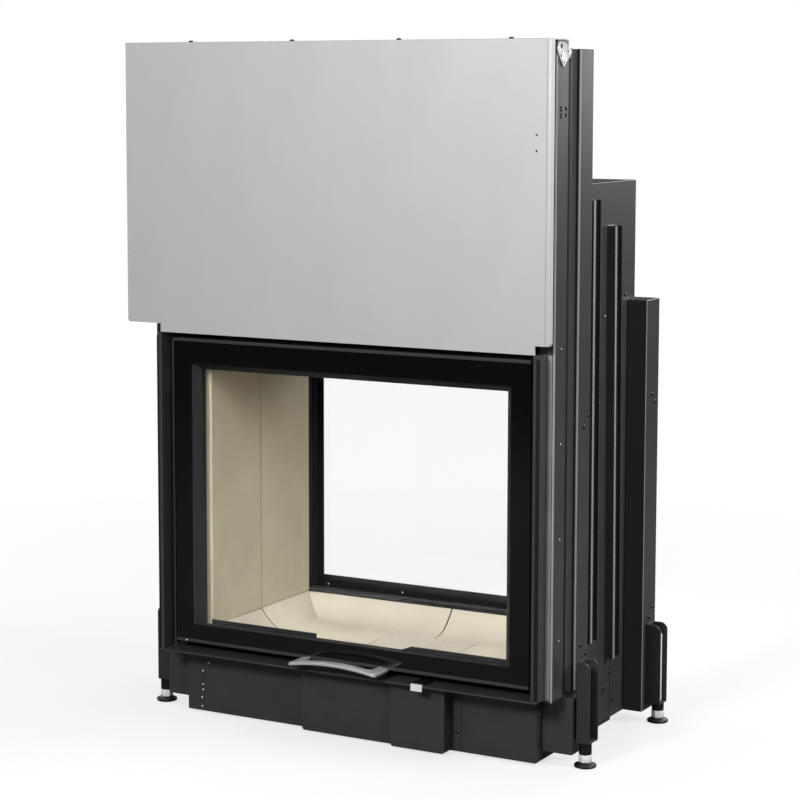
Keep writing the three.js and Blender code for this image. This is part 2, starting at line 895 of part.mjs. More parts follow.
function shellPlan(inset) {
  const front = shell.front + inset;
  const rear = shell.rear - inset;
  const step = shell.stepY + inset;
  const narrow = shell.frontHalf - inset;
  const wide = shell.rearHalf - inset;
  return shapeOf([
    [-narrow, front],
    [narrow, front],
    [narrow, step],
    [wide, step],
    [wide, rear],
    [-wide, rear],
    [-wide, step],
    [-narrow, step],
  ]);
}

// Open channel on the side of the shell, whose lower end leans to the rear.
function railSolid(side, { y, bottom, top, lean }) {
  const foot = side * (shell.rearHalf - rail.embed);
  const tip = side * (shell.rearHalf + rail.reach);
  const near = tip - side * rail.thickness;
  const seam = side * (shell.rearHalf + rail.thickness);
  const rear = y + rail.span;
  const plan = [
    [foot, y],
    [tip, y],
    [tip, y + rail.lip],
    [near, y + rail.lip],
    [near, y + rail.thickness],
    [seam, y + rail.thickness],
    [seam, rear - rail.thickness],
    [near, rear - rail.thickness],
    [near, rear - rail.backLip],
    [tip, rear - rail.backLip],
    [tip, rear],
    [foot, rear],
  ];
  const geometry = extruded(shapeOf(plan), top - bottom).translate(0, 0, bottom - top);
  const slope = new THREE.Matrix4().makeShear(0, 0, 0, 0, 0, -lean / (top - bottom));
  return solidOf(geometry.applyMatrix4(slope).translate(0, 0, top));
}

function fireboxShell() {
  const outside = prismZ(shellPlan(0), shell.skirtBottom, shell.top);
  const chamber = prismZ(shellPlan(sheet), shell.floorTop, shell.top - sheet);
  const under = prismZ(shellPlan(sheet), shell.skirtBottom - overrun, shell.floorTop - sheet);
  const frontWindow = block(
    [-lining.outer - seat, lining.outer + seat],
    [shell.front - overrun, shell.front + sheet + seat],
    [shell.floorTop, shell.windowTop],
  );
  const toeRoom = block(
    [-plinth.half - seat, plinth.half + seat],
    [shell.front - overrun, shell.front + sheet + seat],
    [shell.skirtBottom - overrun, shell.floorTop - sheet],
  );
  const rearOpening = block(
    [-rearWindow.half, rearWindow.half],
    [shell.rear - sheet - seat, shell.rear + overrun],
    [rearWindow.bottom, rearWindow.top],
  );
  const flueZ = [shell.top - sheet - overrun, shell.top + overrun];
  const flueHole = rodZ(0, shell.flueY, ...flueZ, shell.flueRadius, wideSides);
  const railSolids = rails.flatMap((one) => sides.map(([, side]) => railSolid(side, one)));
  return join(cut(outside, chamber, under, frontWindow, toeRoom, rearOpening, flueHole), ...railSolids);
}

// Height of the hearth bowl at a plan point: flat in the middle, rising towards the four walls.
function bowlHeight(x, y) {
  const alongX = (Math.abs(x) - (lining.half - lining.flank)) / lining.flank;
  const towardsFront = (lining.hearthFront + lining.frontFlank - y) / lining.frontFlank;
  const towardsRear = (y - (lining.rear - lining.flank)) / lining.flank;
  const climb = Math.min(1, Math.max(0, alongX, towardsFront, towardsRear));
  return lining.bowl + (lining.edge - lining.bowl) * climb ** lining.flankPower;
}

// Grid lines from an edge of the hearth to the inner end of its flank, which lies to either side.
function flankLines(edge, flank) {
  const lines = [];
  for (let i = 0; i <= lining.flankSteps; i++) {
    lines.push(edge + (flank * i) / lining.flankSteps);
  }
  return lines;
}

// The hearth as one closed block whose top is the bowl; the tiles are cut from it.
function hearthBlock() {
  const flank = lining.flank;
  const acrossX = [...flankLines(-lining.half, flank), ...flankLines(lining.half, -flank).reverse()];
  const xs = [-lining.outer, ...acrossX, lining.outer];
  const ys = [
    ...flankLines(lining.hearthFront, lining.frontFlank),
    ...flankLines(lining.rear, -flank).reverse(),
  ];
  const bottom = shell.floorTop + seat;
  const positions = [];
  for (const level of [0, 1]) {
    for (const y of ys) {
      for (const x of xs) {
        positions.push(x, y, level ? bowlHeight(x, y) : bottom);
      }
    }
  }
  const count = xs.length * ys.length;
  const at = (i, j, level) => level * count + j * xs.length + i;
  const triangles = [];
  const quad = (a, b, c, d) => triangles.push(a, b, c, a, c, d);
  for (let j = 0; j + 1 < ys.length; j++) {
    for (let i = 0; i + 1 < xs.length; i++) {
      const rising = (xs[i] + xs[i + 1]) * (ys[j] + ys[j + 1] - 2 * lining.middle) > 0;
      const corners = [at(i, j, 1), at(i + 1, j, 1), at(i + 1, j + 1, 1), at(i, j + 1, 1)];
      const turnedCorners = rising ? corners : [...corners.slice(1), corners[0]];
      quad(...turnedCorners);
      quad(at(i, j, 0), at(i, j + 1, 0), at(i + 1, j + 1, 0), at(i + 1, j, 0));
    }
  }
  for (let i = 0; i + 1 < xs.length; i++) {
    const j = ys.length - 1;
    quad(at(i, 0, 0), at(i + 1, 0, 0), at(i + 1, 0, 1), at(i, 0, 1));
    quad(at(i + 1, j, 0), at(i, j, 0), at(i, j, 1), at(i + 1, j, 1));
  }
  for (let j = 0; j + 1 < ys.length; j++) {
    const i = xs.length - 1;
    quad(at(0, j + 1, 0), at(0, j, 0), at(0, j, 1), at(0, j + 1, 1));
    quad(at(i, j, 0), at(i, j + 1, 0), at(i, j + 1, 1), at(i, j, 1));
  }
  const geometry = new THREE.BufferGeometry();
  geometry.setAttribute("position", new THREE.Float32BufferAttribute(positions, 3));
  geometry.setIndex(triangles);
  return solidOf(geometry);
}

function buildHearth() {
  const hearth = hearthBlock();
  const gap = lining.joint / 2;
  const height = [shell.floorTop - overrun, lining.edge + overrun];
  const reach = lining.outer + overrun;
  const plateX = [lining.jointX - lining.plateHalf, lining.jointX + lining.plateHalf];
  const plateY = [lining.hearthFront + lining.frontFlank, lining.rear - lining.flank];
  const plateHole = block(plateX, plateY, height);
  for (const [end, y] of [
    ["front", [lining.front - overrun, lining.middle - gap]],
    ["rear", [lining.middle + gap, lining.rear + overrun]],
  ]) {
    for (const [name, side] of sides) {
      const quarter = block([lining.jointX + side * gap, side * reach], y, height);
      const tile = cut(hearth.intersect(quarter), plateHole);
      place("firebox", "hearth_tile_" + end + "_" + name, tile, "chamotte");
    }
  }
  const plate = block(
    [plateX[0] + lining.joint, plateX[1] - lining.joint],
    [plateY[0] + lining.joint, plateY[1] - lining.joint],
    [shell.floorTop + seat, lining.bowl],
  );
  place("firebox", "hearth_plate", plate, "chamotte");
}

// Upright sheet that keeps logs off the glass, lower along part of its top edge.
function guardSheet(half, bottom, top, recess, left, right, slope, y) {
  const shape = shapeOf([
    [-half, bottom],
    [half, bottom],
    [half, top],
    [right + slope, top],
    [right, top - recess],
    [left, top - recess],
    [left, top],
    [-half, top],
  ]);
  return prismY(shape, ...y);
}

function buildFirebox() {
  place("firebox", "firebox_shell", fireboxShell(), "anthracite");
  place("firebox", "firebox_front_frame", frontFrameRing(), "blackPaint");
  const gap = lining.joint / 2;
  for (const [end, y] of [
    ["front", [lining.front, lining.middle - gap]],
    ["rear", [lining.middle + gap, lining.rear]],
  ]) {
    for (const [name, side] of sides) {
      const tile = block([side * lining.half, side * lining.outer], y, [lining.edge + seat, lining.top]);
      place("firebox", "wall_tile_" + end + "_" + name, tile, "chamotte");
    }
  }
  buildHearth();
  const baffleBottom = lining.top + seat;
  const baffleY = [lining.front + baffle.frontGap, lining.rear - baffle.rearGap];
  const baffleZ = [baffleBottom, baffleBottom + baffle.thickness];
  place("firebox", "baffle_plate", block([-lining.outer, lining.outer], baffleY, baffleZ), "vermiculite");
  const guardTop = frontFrame.bottom + frontFrame.bottomBar + seat + guard.height;
  const guardY = [lining.front, lining.front + guard.thickness];
  const frontGuard = guardSheet(
    lining.half - guard.side,
    guardTop - guard.height,
    guardTop,
    guard.recess,
    lining.jointX - guard.recessHalf,
    lining.jointX + guard.recessHalf - guard.recessRight,
    guard.slope,
    guardY,
  );
  place("firebox", "log_guard_front", frontGuard, "blackPaint");
  const flueBottom = shell.top + seat;
  const flueInner = shell.flueRadius;
  const flueOuter = flueInner + flue.wall;
  const collar = turned(
    [
      [flueInner, flueBottom],
      [flueOuter + flue.flange, flueBottom],
      [flueOuter + flue.flange, flueBottom + sheet],
      [flueOuter, flueBottom + sheet],
      [flueOuter, flueBottom + flue.height],
      [flueInner, flueBottom + flue.height],
      [flueInner, flueBottom],
    ],
    0,
    shell.flueY,
    wideSides,
  );
  place("firebox", "flue_collar", collar, "anthracite");
}

// Rear unit

function rearFrameSolid() {
  const bounds = (inset) =>
    block(
      [-(rearFrame.half - inset), rearFrame.half - inset],
      [rearFrame.front + inset, rearFrame.rear - inset],
      [rearFrame.bottom - (inset ? overrun : 0), rearFrame.top - inset],
    );
  const shellRoom = block(
    [-(shell.rearHalf + seat), shell.rearHalf + seat],
    [rearFrame.front - overrun, shell.rear + seat],
    [rearFrame.bottom - overrun, rearFrame.top + overrun],
  );
  const collar = block(
    [-(rearWindow.half + sheet), rearWindow.half + sheet],
    [shell.rear + seat, rearFrame.rear],
    [rearWindow.bottom - sheet, rearWindow.top + sheet],
  );
  const window = block(
    [-rearWindow.half, rearWindow.half],
    [rearFrame.front - overrun, rearFrame.rear + overrun],
    [rearWindow.bottom, rearWindow.top],
  );
  return cut(join(cut(bounds(0), shellRoom, bounds(sheet)), collar), window);
}

const earZ = [
  ["lower", rearDoor.bottom + hinge.inset + hinge.blockHeight + seat, -1],
  ["upper", rearDoor.top - hinge.inset - hinge.blockHeight - hinge.earHeight - seat, 1],
];

function rearDoorFrame() {
  const outer = { x: [-rearDoor.half, rearDoor.half], z: [rearDoor.bottom, rearDoor.top] };
  const window = { x: [-rearWindow.half, rearWindow.half], z: [rearWindow.bottom, rearWindow.top] };
  const bars = ring(outer, window, [rearDoor.front, rearDoor.rear]);
  const lap = rearDoor.glassLap + seat;
  const rebateFront = rearDoor.rear - rearDoor.wall - rearDoor.glass;
  const rebate = block(
    [window.x[0] - lap, window.x[1] + lap],
    [rebateFront, rearDoor.rear + overrun],
    [window.z[0] - lap, window.z[1] + lap],
  );
  const wall = rearDoor.wall;
  const hollow = ring(
    {
      x: [-(rearDoor.half - wall), rearDoor.half - wall],
      z: [rearDoor.bottom + wall, rearDoor.top - wall],
    },
    {
      x: [window.x[0] - lap - wall, window.x[1] + lap + wall],
      z: [window.z[0] - lap - wall, window.z[1] + lap + wall],
    },
    [rearDoor.front + wall, rearDoor.rear - wall],
  );
  const middle = (rearDoor.front + rearDoor.rear) / 2;
  const slot = block(
    [-(rearDoor.half - rearDoor.ventInset), rearDoor.half - rearDoor.ventInset],
    [middle - rearDoor.ventWidth / 2, middle + rearDoor.ventWidth / 2],
    [rearDoor.top - wall - overrun, rearDoor.top + overrun],
  );
  const ears = earZ.map(([, z]) => {
    const ear = block(
      [hinge.x - hinge.ear, -rearDoor.half + wall],
      [hinge.y - hinge.ear, hinge.y + hinge.ear],
      [z, z + hinge.earHeight],
    );
    return cut(ear, rodZ(hinge.x, hinge.y, z - overrun, z + hinge.earHeight + overrun, hinge.pin + seat));
  });
  return join(cut(bars, rebate, hollow, slot), ...ears);
}

// Flat plate on the sill of the rear opening, with a recess in the edge that faces the hearth.
function rearSillPlate() {
  const half = rearWindow.half - rearSill.side;
  const front = shell.rear - sheet;
  const recessRear = front + rearSill.recess;
  const left = lining.jointX - rearSill.recessHalf;
  const right = lining.jointX + rearSill.recessHalf;
  const bottom = rearWindow.bottom + seat;
  const plan = shapeOf([
    [-half, front],
    [left - rearSill.slope, front],
    [left, recessRear],
    [right, recessRear],
    [right + rearSill.slope, front],
    [half, front],
    [half, rearFrame.rear],
    [-half, rearFrame.rear],
  ]);
  return prismZ(plan, bottom, bottom + rearSill.thickness);
}

function rearGlass() {
  const lap = rearDoor.glassLap;
  const front = rearDoor.rear - rearDoor.wall - rearDoor.glass + seat;
  return block(
    [-(rearWindow.half + lap), rearWindow.half + lap],
    [front, front + rearDoor.glass],
    [rearWindow.bottom - lap, rearWindow.top + lap],
  );
}

// Hinge block on the rear frame, with the pin that carries the door's ear.
function hingeBlock(z, direction) {
  const near = direction < 0 ? z - seat : z + hinge.earHeight + seat;
  const far = near + direction * hinge.blockHeight;
  const body = block(
    [hinge.x - hinge.blockBack, hinge.x + hinge.blockFront],
    [rearFrame.rear + seat, hinge.y + hinge.blockReach],
    [Math.min(near, far), Math.max(near, far)],
  );
  const tip = near - direction * hinge.earHeight;
  return join(body, rodZ(hinge.x, hinge.y, Math.min(tip, far), Math.max(tip, far), hinge.pin));
}

function rearHandleSolid() {
  const x = rearDoor.half - rearHandle.inset;
  const face = rearHandle.front;
  const boss = rodY(x, face, face + rearHandle.bossLength, rearHandle.z, rearHandle.bossRadius);
  const shape = new THREE.Shape();
  const low = rearHandle.z - rearHandle.armLength;
  shape.absarc(x, rearHandle.z, rearHandle.bossRadius, 0, Math.PI, false);
  shape.absarc(x, low, rearHandle.armRadius, Math.PI, 2 * Math.PI, false);
  const arm = prismY(shape, rearHandle.armFront, rearHandle.armFront + rearHandle.armDepth);
  return join(boss, arm);
}

function buildRear() {
  place("rear", "rear_frame", rearFrameSolid(), "anthracite");
  place("rear", "rear_sill_plate", rearSillPlate(), "blackPaint");
  place("rear", "rear_door_frame", rearDoorFrame(), "anthracite");
  place("rear", "rear_door_glass", rearGlass(), "glassPane");
  for (const [name, z, direction] of earZ) {
    place("rear", "rear_hinge_" + name, hingeBlock(z, direction), "blackPaint");
  }
  place("rear", "rear_door_handle", rearHandleSolid(), "brushed");
}

// Air control: the tab under the door, and the plate that it slides over the air port.
function buildAirControl() {
  const half = lever.width / 2;
  const x = [lever.x - half, lever.x + half];
  const bottom = surround.shelfTop + running;
  const top = bottom + lever.thickness;
  const rear = lever.legY + lever.thickness;
  const arm = block(x, [lever.front, rear], [bottom, top]);
  const tab = block(x, [lever.front, lever.front + lever.thickness], [bottom - lever.tabDrop, top]);
  const leg = block(x, [lever.legY, rear], [top - lever.legDrop, top]);
  const plate = block(damperPlate.x, damperPlate.y, damperPlate.z);
  const legBottom = top - lever.legDrop;
  const toe = block(x, [lever.legY, damperPlate.y[1]], [legBottom, legBottom + lever.thickness]);
  place("air", "air_lever", join(arm, tab, leg, toe, plate), "zinc");
}

buildBase();
buildFeet();
buildFront();
buildLift();
buildDoor();
buildFirebox();
buildRear();
buildAirControl();
assembly.position.y = centreShift;

export default assembly;
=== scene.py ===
"""Tunnel fireplace insert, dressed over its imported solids.

Lengths in the classes are millimetres in the row frame: +X to the right seen from the front, +Y to the rear, +Z up.
"""

import json
import logging
import math
from collections.abc import Callable, Iterable, Sequence
from dataclasses import dataclass
from enum import Enum
from functools import cache
from typing import Any

import bmesh
import bpy
from mathutils import Matrix, Vector

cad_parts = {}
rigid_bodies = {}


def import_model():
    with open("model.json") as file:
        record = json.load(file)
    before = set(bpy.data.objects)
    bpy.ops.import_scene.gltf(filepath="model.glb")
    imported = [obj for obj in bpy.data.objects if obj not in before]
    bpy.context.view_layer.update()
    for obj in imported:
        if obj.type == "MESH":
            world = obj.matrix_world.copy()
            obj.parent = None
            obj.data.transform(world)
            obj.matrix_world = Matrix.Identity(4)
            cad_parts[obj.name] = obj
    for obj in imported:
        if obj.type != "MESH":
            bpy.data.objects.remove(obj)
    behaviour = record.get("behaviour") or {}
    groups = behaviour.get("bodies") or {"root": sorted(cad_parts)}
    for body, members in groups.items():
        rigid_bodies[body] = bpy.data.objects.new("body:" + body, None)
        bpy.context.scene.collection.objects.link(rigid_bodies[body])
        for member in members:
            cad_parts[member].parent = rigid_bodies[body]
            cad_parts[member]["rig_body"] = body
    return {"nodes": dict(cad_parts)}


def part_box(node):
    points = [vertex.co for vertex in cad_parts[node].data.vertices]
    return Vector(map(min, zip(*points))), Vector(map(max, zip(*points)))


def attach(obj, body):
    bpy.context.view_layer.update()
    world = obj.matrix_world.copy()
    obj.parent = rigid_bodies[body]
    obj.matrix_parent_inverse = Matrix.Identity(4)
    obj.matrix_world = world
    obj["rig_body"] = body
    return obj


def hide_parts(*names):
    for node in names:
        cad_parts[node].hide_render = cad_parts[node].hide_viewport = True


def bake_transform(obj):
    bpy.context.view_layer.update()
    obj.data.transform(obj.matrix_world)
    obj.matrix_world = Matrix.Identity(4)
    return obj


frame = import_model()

Point = tuple[float, float, float]
Pair = tuple[float, float]
Rect = tuple[float, float, float, float]
Blend = tuple[str, Point, Point]
EdgeRule = Callable[[Vector, Vector], bool]
Shape = bmesh.types.BMesh
Thing = bpy.types.Object
Tree = bpy.types.NodeTree

MM = 0.001
SIDES = (("left", -1), ("right", 1))
# Share of the noise between which one colour passes into the other.
NOISE_BAND = (0.35, 0.68)
# Millimetres within which two places count as one, and within which the solids' vertices are merged.
TOUCH = 0.1
MERGE = 0.01
# Degrees: faces of a solid that lie flatter to each other are joined, and a painted fold highlight covers this arc.
FLAT = 0.6
FOLD_ARC = (-72, -14)
# Millimetres that a painted fold highlight reaches out of the sheet and into it, and the print's thickness on a pane.
SKIN_OUT, SKIN_IN, PRINT_FILM = 0.06, 0.2, 0.2
log = logging.getLogger("fireplace")


# Colours and nodes


def srgb(hex_colour: str) -> tuple[float, ...]:
    """Turns an sRGB hex colour into linear RGBA.

    Args:
        hex_colour: six hex digits after a hash.

    Returns:
        Linear red, green, blue and an alpha of 1.
    """
    parts = [int(hex_colour[i : i + 2], 16) / 255 for i in (1, 3, 5)]
    return (*(c / 12.92 if c <= 0.04045 else ((c + 0.055) / 1.055) ** 2.4 for c in parts), 1.0)


def add_node(tree: Tree, kind: str, inputs: dict[Any, Any] | None = None, **settings: Any) -> Any:
    """Adds a node with its settings, values and links.

    Args:
        tree: the node tree.
        kind: the node's type name.
        inputs: socket name or number to a value, to an output socket, or to a node whose first output is linked.
        settings: the node's own properties.

    Returns:
        The new node.
    """
    node = tree.nodes.new(kind)
    for key, value in settings.items():
        setattr(node, key, value)
    for key, value in (inputs or {}).items():
        source = value.outputs[0] if isinstance(value, bpy.types.Node) else value
        if isinstance(source, bpy.types.NodeSocket):
            tree.links.new(source, node.inputs[key])
        else:
            node.inputs[key].default_value = source
    return node


def calc(tree: Tree, operation: str, *values: Any) -> Any:
    """Math node on values, sockets or nodes."""
    return add_node(tree, "ShaderNodeMath", dict(enumerate(values)), operation=operation)


def new_material(name: str) -> tuple[bpy.types.Material, Tree]:
    """Material with an empty node tree.

    Args:
        name: the material's name.

    Returns:
        The material and its tree.
    """
    made = bpy.data.materials.new(name)
    made.use_nodes = True
    made.node_tree.nodes.clear()
    return made, made.node_tree


class Slot(Enum):
    """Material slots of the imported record."""

    GALVANISED = "galvanised_sheet"
    ANTHRACITE = "anthracite_paint"
    BLACK = "black_paint"
    FIRECLAY = "fireclay"
    VERMICULITE = "vermiculite"
    GLASS = "ceramic_glass"
    ROPE = "rope_seal"
    BRUSHED = "brushed_steel"
    ZINC = "zinc_plate"
    STEEL = "bare_steel"


@dataclass(frozen=True)
class Grain:
    """A fine pattern in a surface: its size, its depth, and how it is drawn out along an axis."""

    size_mm: float
    depth_mm: float = 0.0
    stretch: Point = (1.0, 1.0, 1.0)

    def noise(self, tree: Tree, place: Any) -> Any:
        """Noise whose cells have the grain's real size.

        Args:
            tree: the node tree.
            place: the place in metres, as a socket.

        Returns:
            The noise node.
        """
        scaled = add_node(tree, "ShaderNodeMapping", {"Vector": place, "Scale": self.stretch})
        values = {"Vector": scaled, "Scale": 1.0 / (self.size_mm * MM), "Detail": 3.0, "Roughness": 0.55}
        return add_node(tree, "ShaderNodeTexNoise", values)


@dataclass(frozen=True)
class Finish:
    """A surface as its maker would order it, or a lighter or darker copy of one that carries painted highlight or
    shade.
    """

    name: str
    colour: str
    worn: str
    roughness: float
    metallic: float
    slot: Slot
    patches: Grain
    grain: Grain | None = None
    roughness_spread: float = 0.06
    ior: float = 1.5

    @cache
    def material(self) -> bpy.types.Material:
        """Builds the material once, and gives the same one afterwards.

        Returns:
            The material.
        """
        made, tree = new_material(self.name)
        place = add_node(tree, "ShaderNodeTexCoord").outputs["Object"]
        blotch = self.patches.noise(tree, place)
        band = {"Value": blotch, "From Min": NOISE_BAND[0], "From Max": NOISE_BAND[1]}
        colours = {
            "Factor": add_node(tree, "ShaderNodeMapRange", band),
            6: srgb(self.colour),
            7: srgb(self.worn),
        }
        smooth = max(0.02, self.roughness - self.roughness_spread)
        rough = min(1.0, self.roughness + self.roughness_spread)
        values: dict[Any, Any] = {
            "Base Color": add_node(tree, "ShaderNodeMix", colours, data_type="RGBA").outputs[2],
            "Roughness": add_node(tree, "ShaderNodeMapRange", {"Value": blotch, "To Min": smooth, "To Max": rough}),
            "Metallic": self.metallic,
        }
        if not self.metallic:
            values["IOR"] = self.ior
        if self.grain:
            relief = {"Height": self.grain.noise(tree, place), "Strength": 1.0, "Distance": self.grain.depth_mm * MM}
            values["Normal"] = add_node(tree, "ShaderNodeBump", relief)
        shader = add_node(tree, "ShaderNodeBsdfPrincipled", values)
        add_node(tree, "ShaderNodeOutputMaterial", {"Surface": shader})
        return made


@dataclass(frozen=True)
class PaneFinish:
    """Clear glass-ceramic."""

    name: str
    ior: float
    slot: Slot = Slot.GLASS

    @cache
    def material(self) -> bpy.types.Material:
        """Builds the material once, and gives the same one afterwards.

        Returns:
            The material.
        """
        made, tree = new_material(self.name)
        values = {"Base Color": srgb("#ffffff"), "Roughness": 0.0, "IOR": self.ior, "Transmission Weight": 1.0}
        shader = add_node(tree, "ShaderNodeBsdfPrincipled", values)
        add_node(tree, "ShaderNodeOutputMaterial", {"Surface": shader})
        return made


# Hot-dip galvanised steel sheet, skin passed: a dull even grey with faint smudges and upright rolling streaks.
GALVANISED = Finish(
    "galvanised_steel_skin_passed", "#c8c8c8", "#c5c5c5", 0.55, 0.35, Slot.GALVANISED,
    Grain(75, stretch=(1, 1, 0.45)), Grain(1.6, 0.01, (1, 1, 0.08)), roughness_spread=0.025,
)
# The same sheet, darker: painted shade in a thin line beside the cover's fold.
ZINC_SHADE = Finish("galvanised_steel_painted_shade", "#a9a9a9", "#a2a2a2", 0.55, 0.3, Slot.GALVANISED, Grain(75))
# Stove paint sprayed on steel, anthracite: matt, with the fine grit of the spray.
ANTHRACITE = Finish(
    "stove_paint_anthracite_sprayed", "#3c3d3e", "#373839", 0.34, 0.0, Slot.ANTHRACITE, Grain(45), Grain(0.9, 0.008)
)
# Stove paint sprayed on steel, black: matt.
BLACK = Finish(
    "stove_paint_black_sprayed", "#0f0f10", "#131314", 0.6, 0.0, Slot.BLACK, Grain(40), Grain(0.9, 0.008), ior=1.33
)
# The same paint, much lighter: painted highlights as thin lines on folds and lips, and painted light on the front of
# each column.
HIGHLIGHT_PAINT = Finish("stove_paint_anthracite_painted_highlight", "#9a9a9a", "#8e8e8e", 0.3, 0.0, Slot.ANTHRACITE, Grain(60))
# Galvanised sheet, near white: a painted highlight along the cover's fold.
HIGHLIGHT_ZINC = Finish("galvanised_steel_painted_highlight", "#f6f6f6", "#ececec", 0.4, 0.2, Slot.GALVANISED, Grain(60))
# Stove paint sprayed on thick steel, black: it reads greyer, because it lies flatter. Brackets and sill plate.
THICK_BLACK = Finish(
    "stove_paint_black_thick_steel", "#2e2e2f", "#292929", 0.5, 0.0, Slot.BLACK, Grain(40), Grain(0.9, 0.008)
)
# Fireclay, cast and dried: chalky, with sandy specks and soft warm stains. The wall tiles.
FIRECLAY = Finish("fireclay_cast", "#c3baa1", "#bcb297", 0.92, 0.0, Slot.FIRECLAY, Grain(70), Grain(1.2, 0.12))
# Fireclay, cast and rubbed smooth: paler and cooler. The hearth.
HEARTH_CLAY = Finish(
    "fireclay_rubbed_smooth", "#c1baaa", "#b9b2a0", 0.92, 0.0, Slot.FIRECLAY, Grain(90), Grain(1.2, 0.06)
)
# Fire cement, pressed into the joints of the hearth: dark brown and rough.
CEMENT = Finish("fire_cement_pressed", "#2b231b", "#211a14", 0.95, 0.0, Slot.FIRECLAY, Grain(5), Grain(1.0, 0.1))
# Vermiculite board, pressed: coarse flakes that catch the light.
VERMICULITE = Finish(
    "vermiculite_board_pressed", "#b9a98a", "#a5926c", 0.95, 0.0, Slot.VERMICULITE, Grain(4), Grain(3, 0.25)
)
# Glass-fibre rope, knitted: dark grey and fibrous.
ROPE = Finish("glass_fibre_rope_knitted", "#4a4946", "#5d5b56", 0.95, 0.0, Slot.ROPE, Grain(3), Grain(0.6, 0.1))
# Stainless steel, brushed lengthwise: long fine scratches that stretch the highlights.
BRUSHED = Finish(
    "stainless_steel_brushed", "#dedfdf", "#d4d5d6", 0.32, 0.5, Slot.BRUSHED, Grain(30), Grain(0.5, 0.002, (0.03, 1, 1))
)
# Steel, bright zinc plated: pale, slightly blue and satin.
ZINC = Finish("steel_zinc_plated", "#fafbfb", "#f1f3f3", 0.3, 0.05, Slot.ZINC, Grain(12), Grain(0.8, 0.004))
# Steel, zinc plated by dipping: the plate has bright and grey clouds.
DIPPED = Finish("steel_zinc_dipped", "#e2e3e3", "#8a8b8c", 0.4, 0.2, Slot.ZINC, Grain(11), Grain(2.0, 0.05))
# Steel, blackened and oiled: screw heads that glint on a dark ground.
BLACKENED = Finish("steel_blackened_oiled", "#38383a", "#2c2c2e", 0.25, 0.5, Slot.STEEL, Grain(6))
# Steel, machined and oiled: darker, with a soft shine.
STEEL = Finish("steel_machined_oiled", "#8f9194", "#7b7d80", 0.38, 1.0, Slot.STEEL, Grain(15), Grain(0.5, 0.01))
# Polyamide, moulded black: the foot discs, with a low sheen.
POLYAMIDE = Finish(
    "polyamide_moulded_black", "#141415", "#1b1b1c", 0.45, 0.0, Slot.BLACK, Grain(8), Grain(0.5, 0.02)
)
# Ceramic ink fired on the pane: dense black with the gloss of the glass.
PRINT = Finish(
    "ceramic_ink_black_fired", "#0b0b0b", "#0d0d0d", 0.08, 0.0, Slot.GLASS, Grain(50), roughness_spread=0.01, ior=1.45
)
# Glass-ceramic, rolled clear: its index is set low, because the picture shows hardly any reflection in it.
PANE = PaneFinish("glass_ceramic_clear_rolled", 1.3)

AnyFinish = Finish | PaneFinish


# Meshes


def placed(name: str, data: Any) -> Thing:
    """Links data to the scene as an object at the origin.

    Args:
        name: the object's name.
        data: its mesh, camera or lamp.

    Returns:
        The linked object.
    """
    obj = bpy.data.objects.new(name, data)
    bpy.context.scene.collection.objects.link(obj)
    return obj


def smooth_object(name: str, mesh: bpy.types.Mesh, sharp: float) -> Thing:
    """Object whose faces are smooth apart from the edges past an angle in degrees.

    Args:
        name: the object's name.
        mesh: its mesh.
        sharp: the angle past which an edge stays sharp.

    Returns:
        The linked object.
    """
    for face in mesh.polygons:
        face.use_smooth = True
    mesh.set_sharp_from_angle(angle=math.radians(sharp))
    return placed(name, mesh)


def mesh_object(name: str, shape: Shape, sharp: float = 40) -> Thing:
    """Turns a bmesh in metres, which is freed, into an object at the origin.

    Args:
        name: the object's name.
        shape: its mesh.
        sharp: the angle past which an edge stays sharp.

    Returns:
        The linked object.
    """
    mesh = bpy.data.meshes.new(name)
    shape.to_mesh(mesh)
    shape.free()
    return smooth_object(name, mesh, sharp)


def settle(
    obj: Thing,
    finish: AnyFinish,
    body: str,
    nodes: Sequence[str] = (),
    blend_from: Blend | None = None,
) -> Thing:
    """Gives a finished piece its material, body and the solids that it stands for.

    Args:
        obj: the piece, in place.
        finish: its surface.
        body: the body that it rides on.
        nodes: the solids that it replaces.
        blend_from: for a cable run, another body and the run's two ends; only whether it is given is read, and then the
            piece is baked in place instead of riding on the body.

    Returns:
        The same object.
    """
    obj.data.materials.clear()
    obj.data.materials.append(finish.material())
    if blend_from:
        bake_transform(obj)
    else:
        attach(obj, body)
    if nodes:
        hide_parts(*nodes)
    log.info("piece %s on %s", obj.name, body)
    return obj


def piece(
    name: str,
    shape: Shape,
    finish: AnyFinish,
    body: str = "insert",
    nodes: Sequence[str] = (),
    sharp: float = 40,
    even: bool = False,
) -> Thing:
    """Makes a settled piece from a mesh.

    Args:
        name: the piece's name.
        shape: its mesh, in metres in the row frame. It is freed.
        finish: its surface.
        body: the body that it rides on.
        nodes: the solids that it replaces.
        sharp: the angle in degrees past which an edge stays sharp.
        even: whether wide flat faces are kept flat beside their rounded edges.

    Returns:
        The settled piece.
    """
    obj = mesh_object(name, shape, sharp)
    if even:
        weighted = obj.modifiers.new("even_shading", "WEIGHTED_NORMAL")
        weighted.keep_sharp = True
        weighted.weight = 50
    return settle(obj, finish, body, nodes)


def made(add: Callable[..., Any], *args: Any) -> Shape:
    """New mesh with one form in it.

    Args:
        add: the function that adds the form.
        args: what it takes after the mesh.

    Returns:
        The new mesh.
    """
    shape = bmesh.new()
    add(shape, *args)
    return shape


def beside(side: int, near_x: float, far_x: float) -> Pair:
    """Low and high X of a span on the right side (1) or mirrored to the left one (-1)."""
    return (near_x, far_x) if side > 0 else (-far_x, -near_x)


def near(level: float, *others: float) -> bool:
    """Whether the other values all lie at the level."""
    return all(abs(other - level) < TOUCH for other in others)


def arc(x: float, y: float, radius: float, start: float, end: float, steps: int) -> list[Pair]:
    """Points on an arc round a centre, from one angle in degrees to another."""
    angles = [math.radians(start + (end - start) * i / steps) for i in range(steps + 1)]
    return [(x + radius * math.cos(a), y + radius * math.sin(a)) for a in angles]


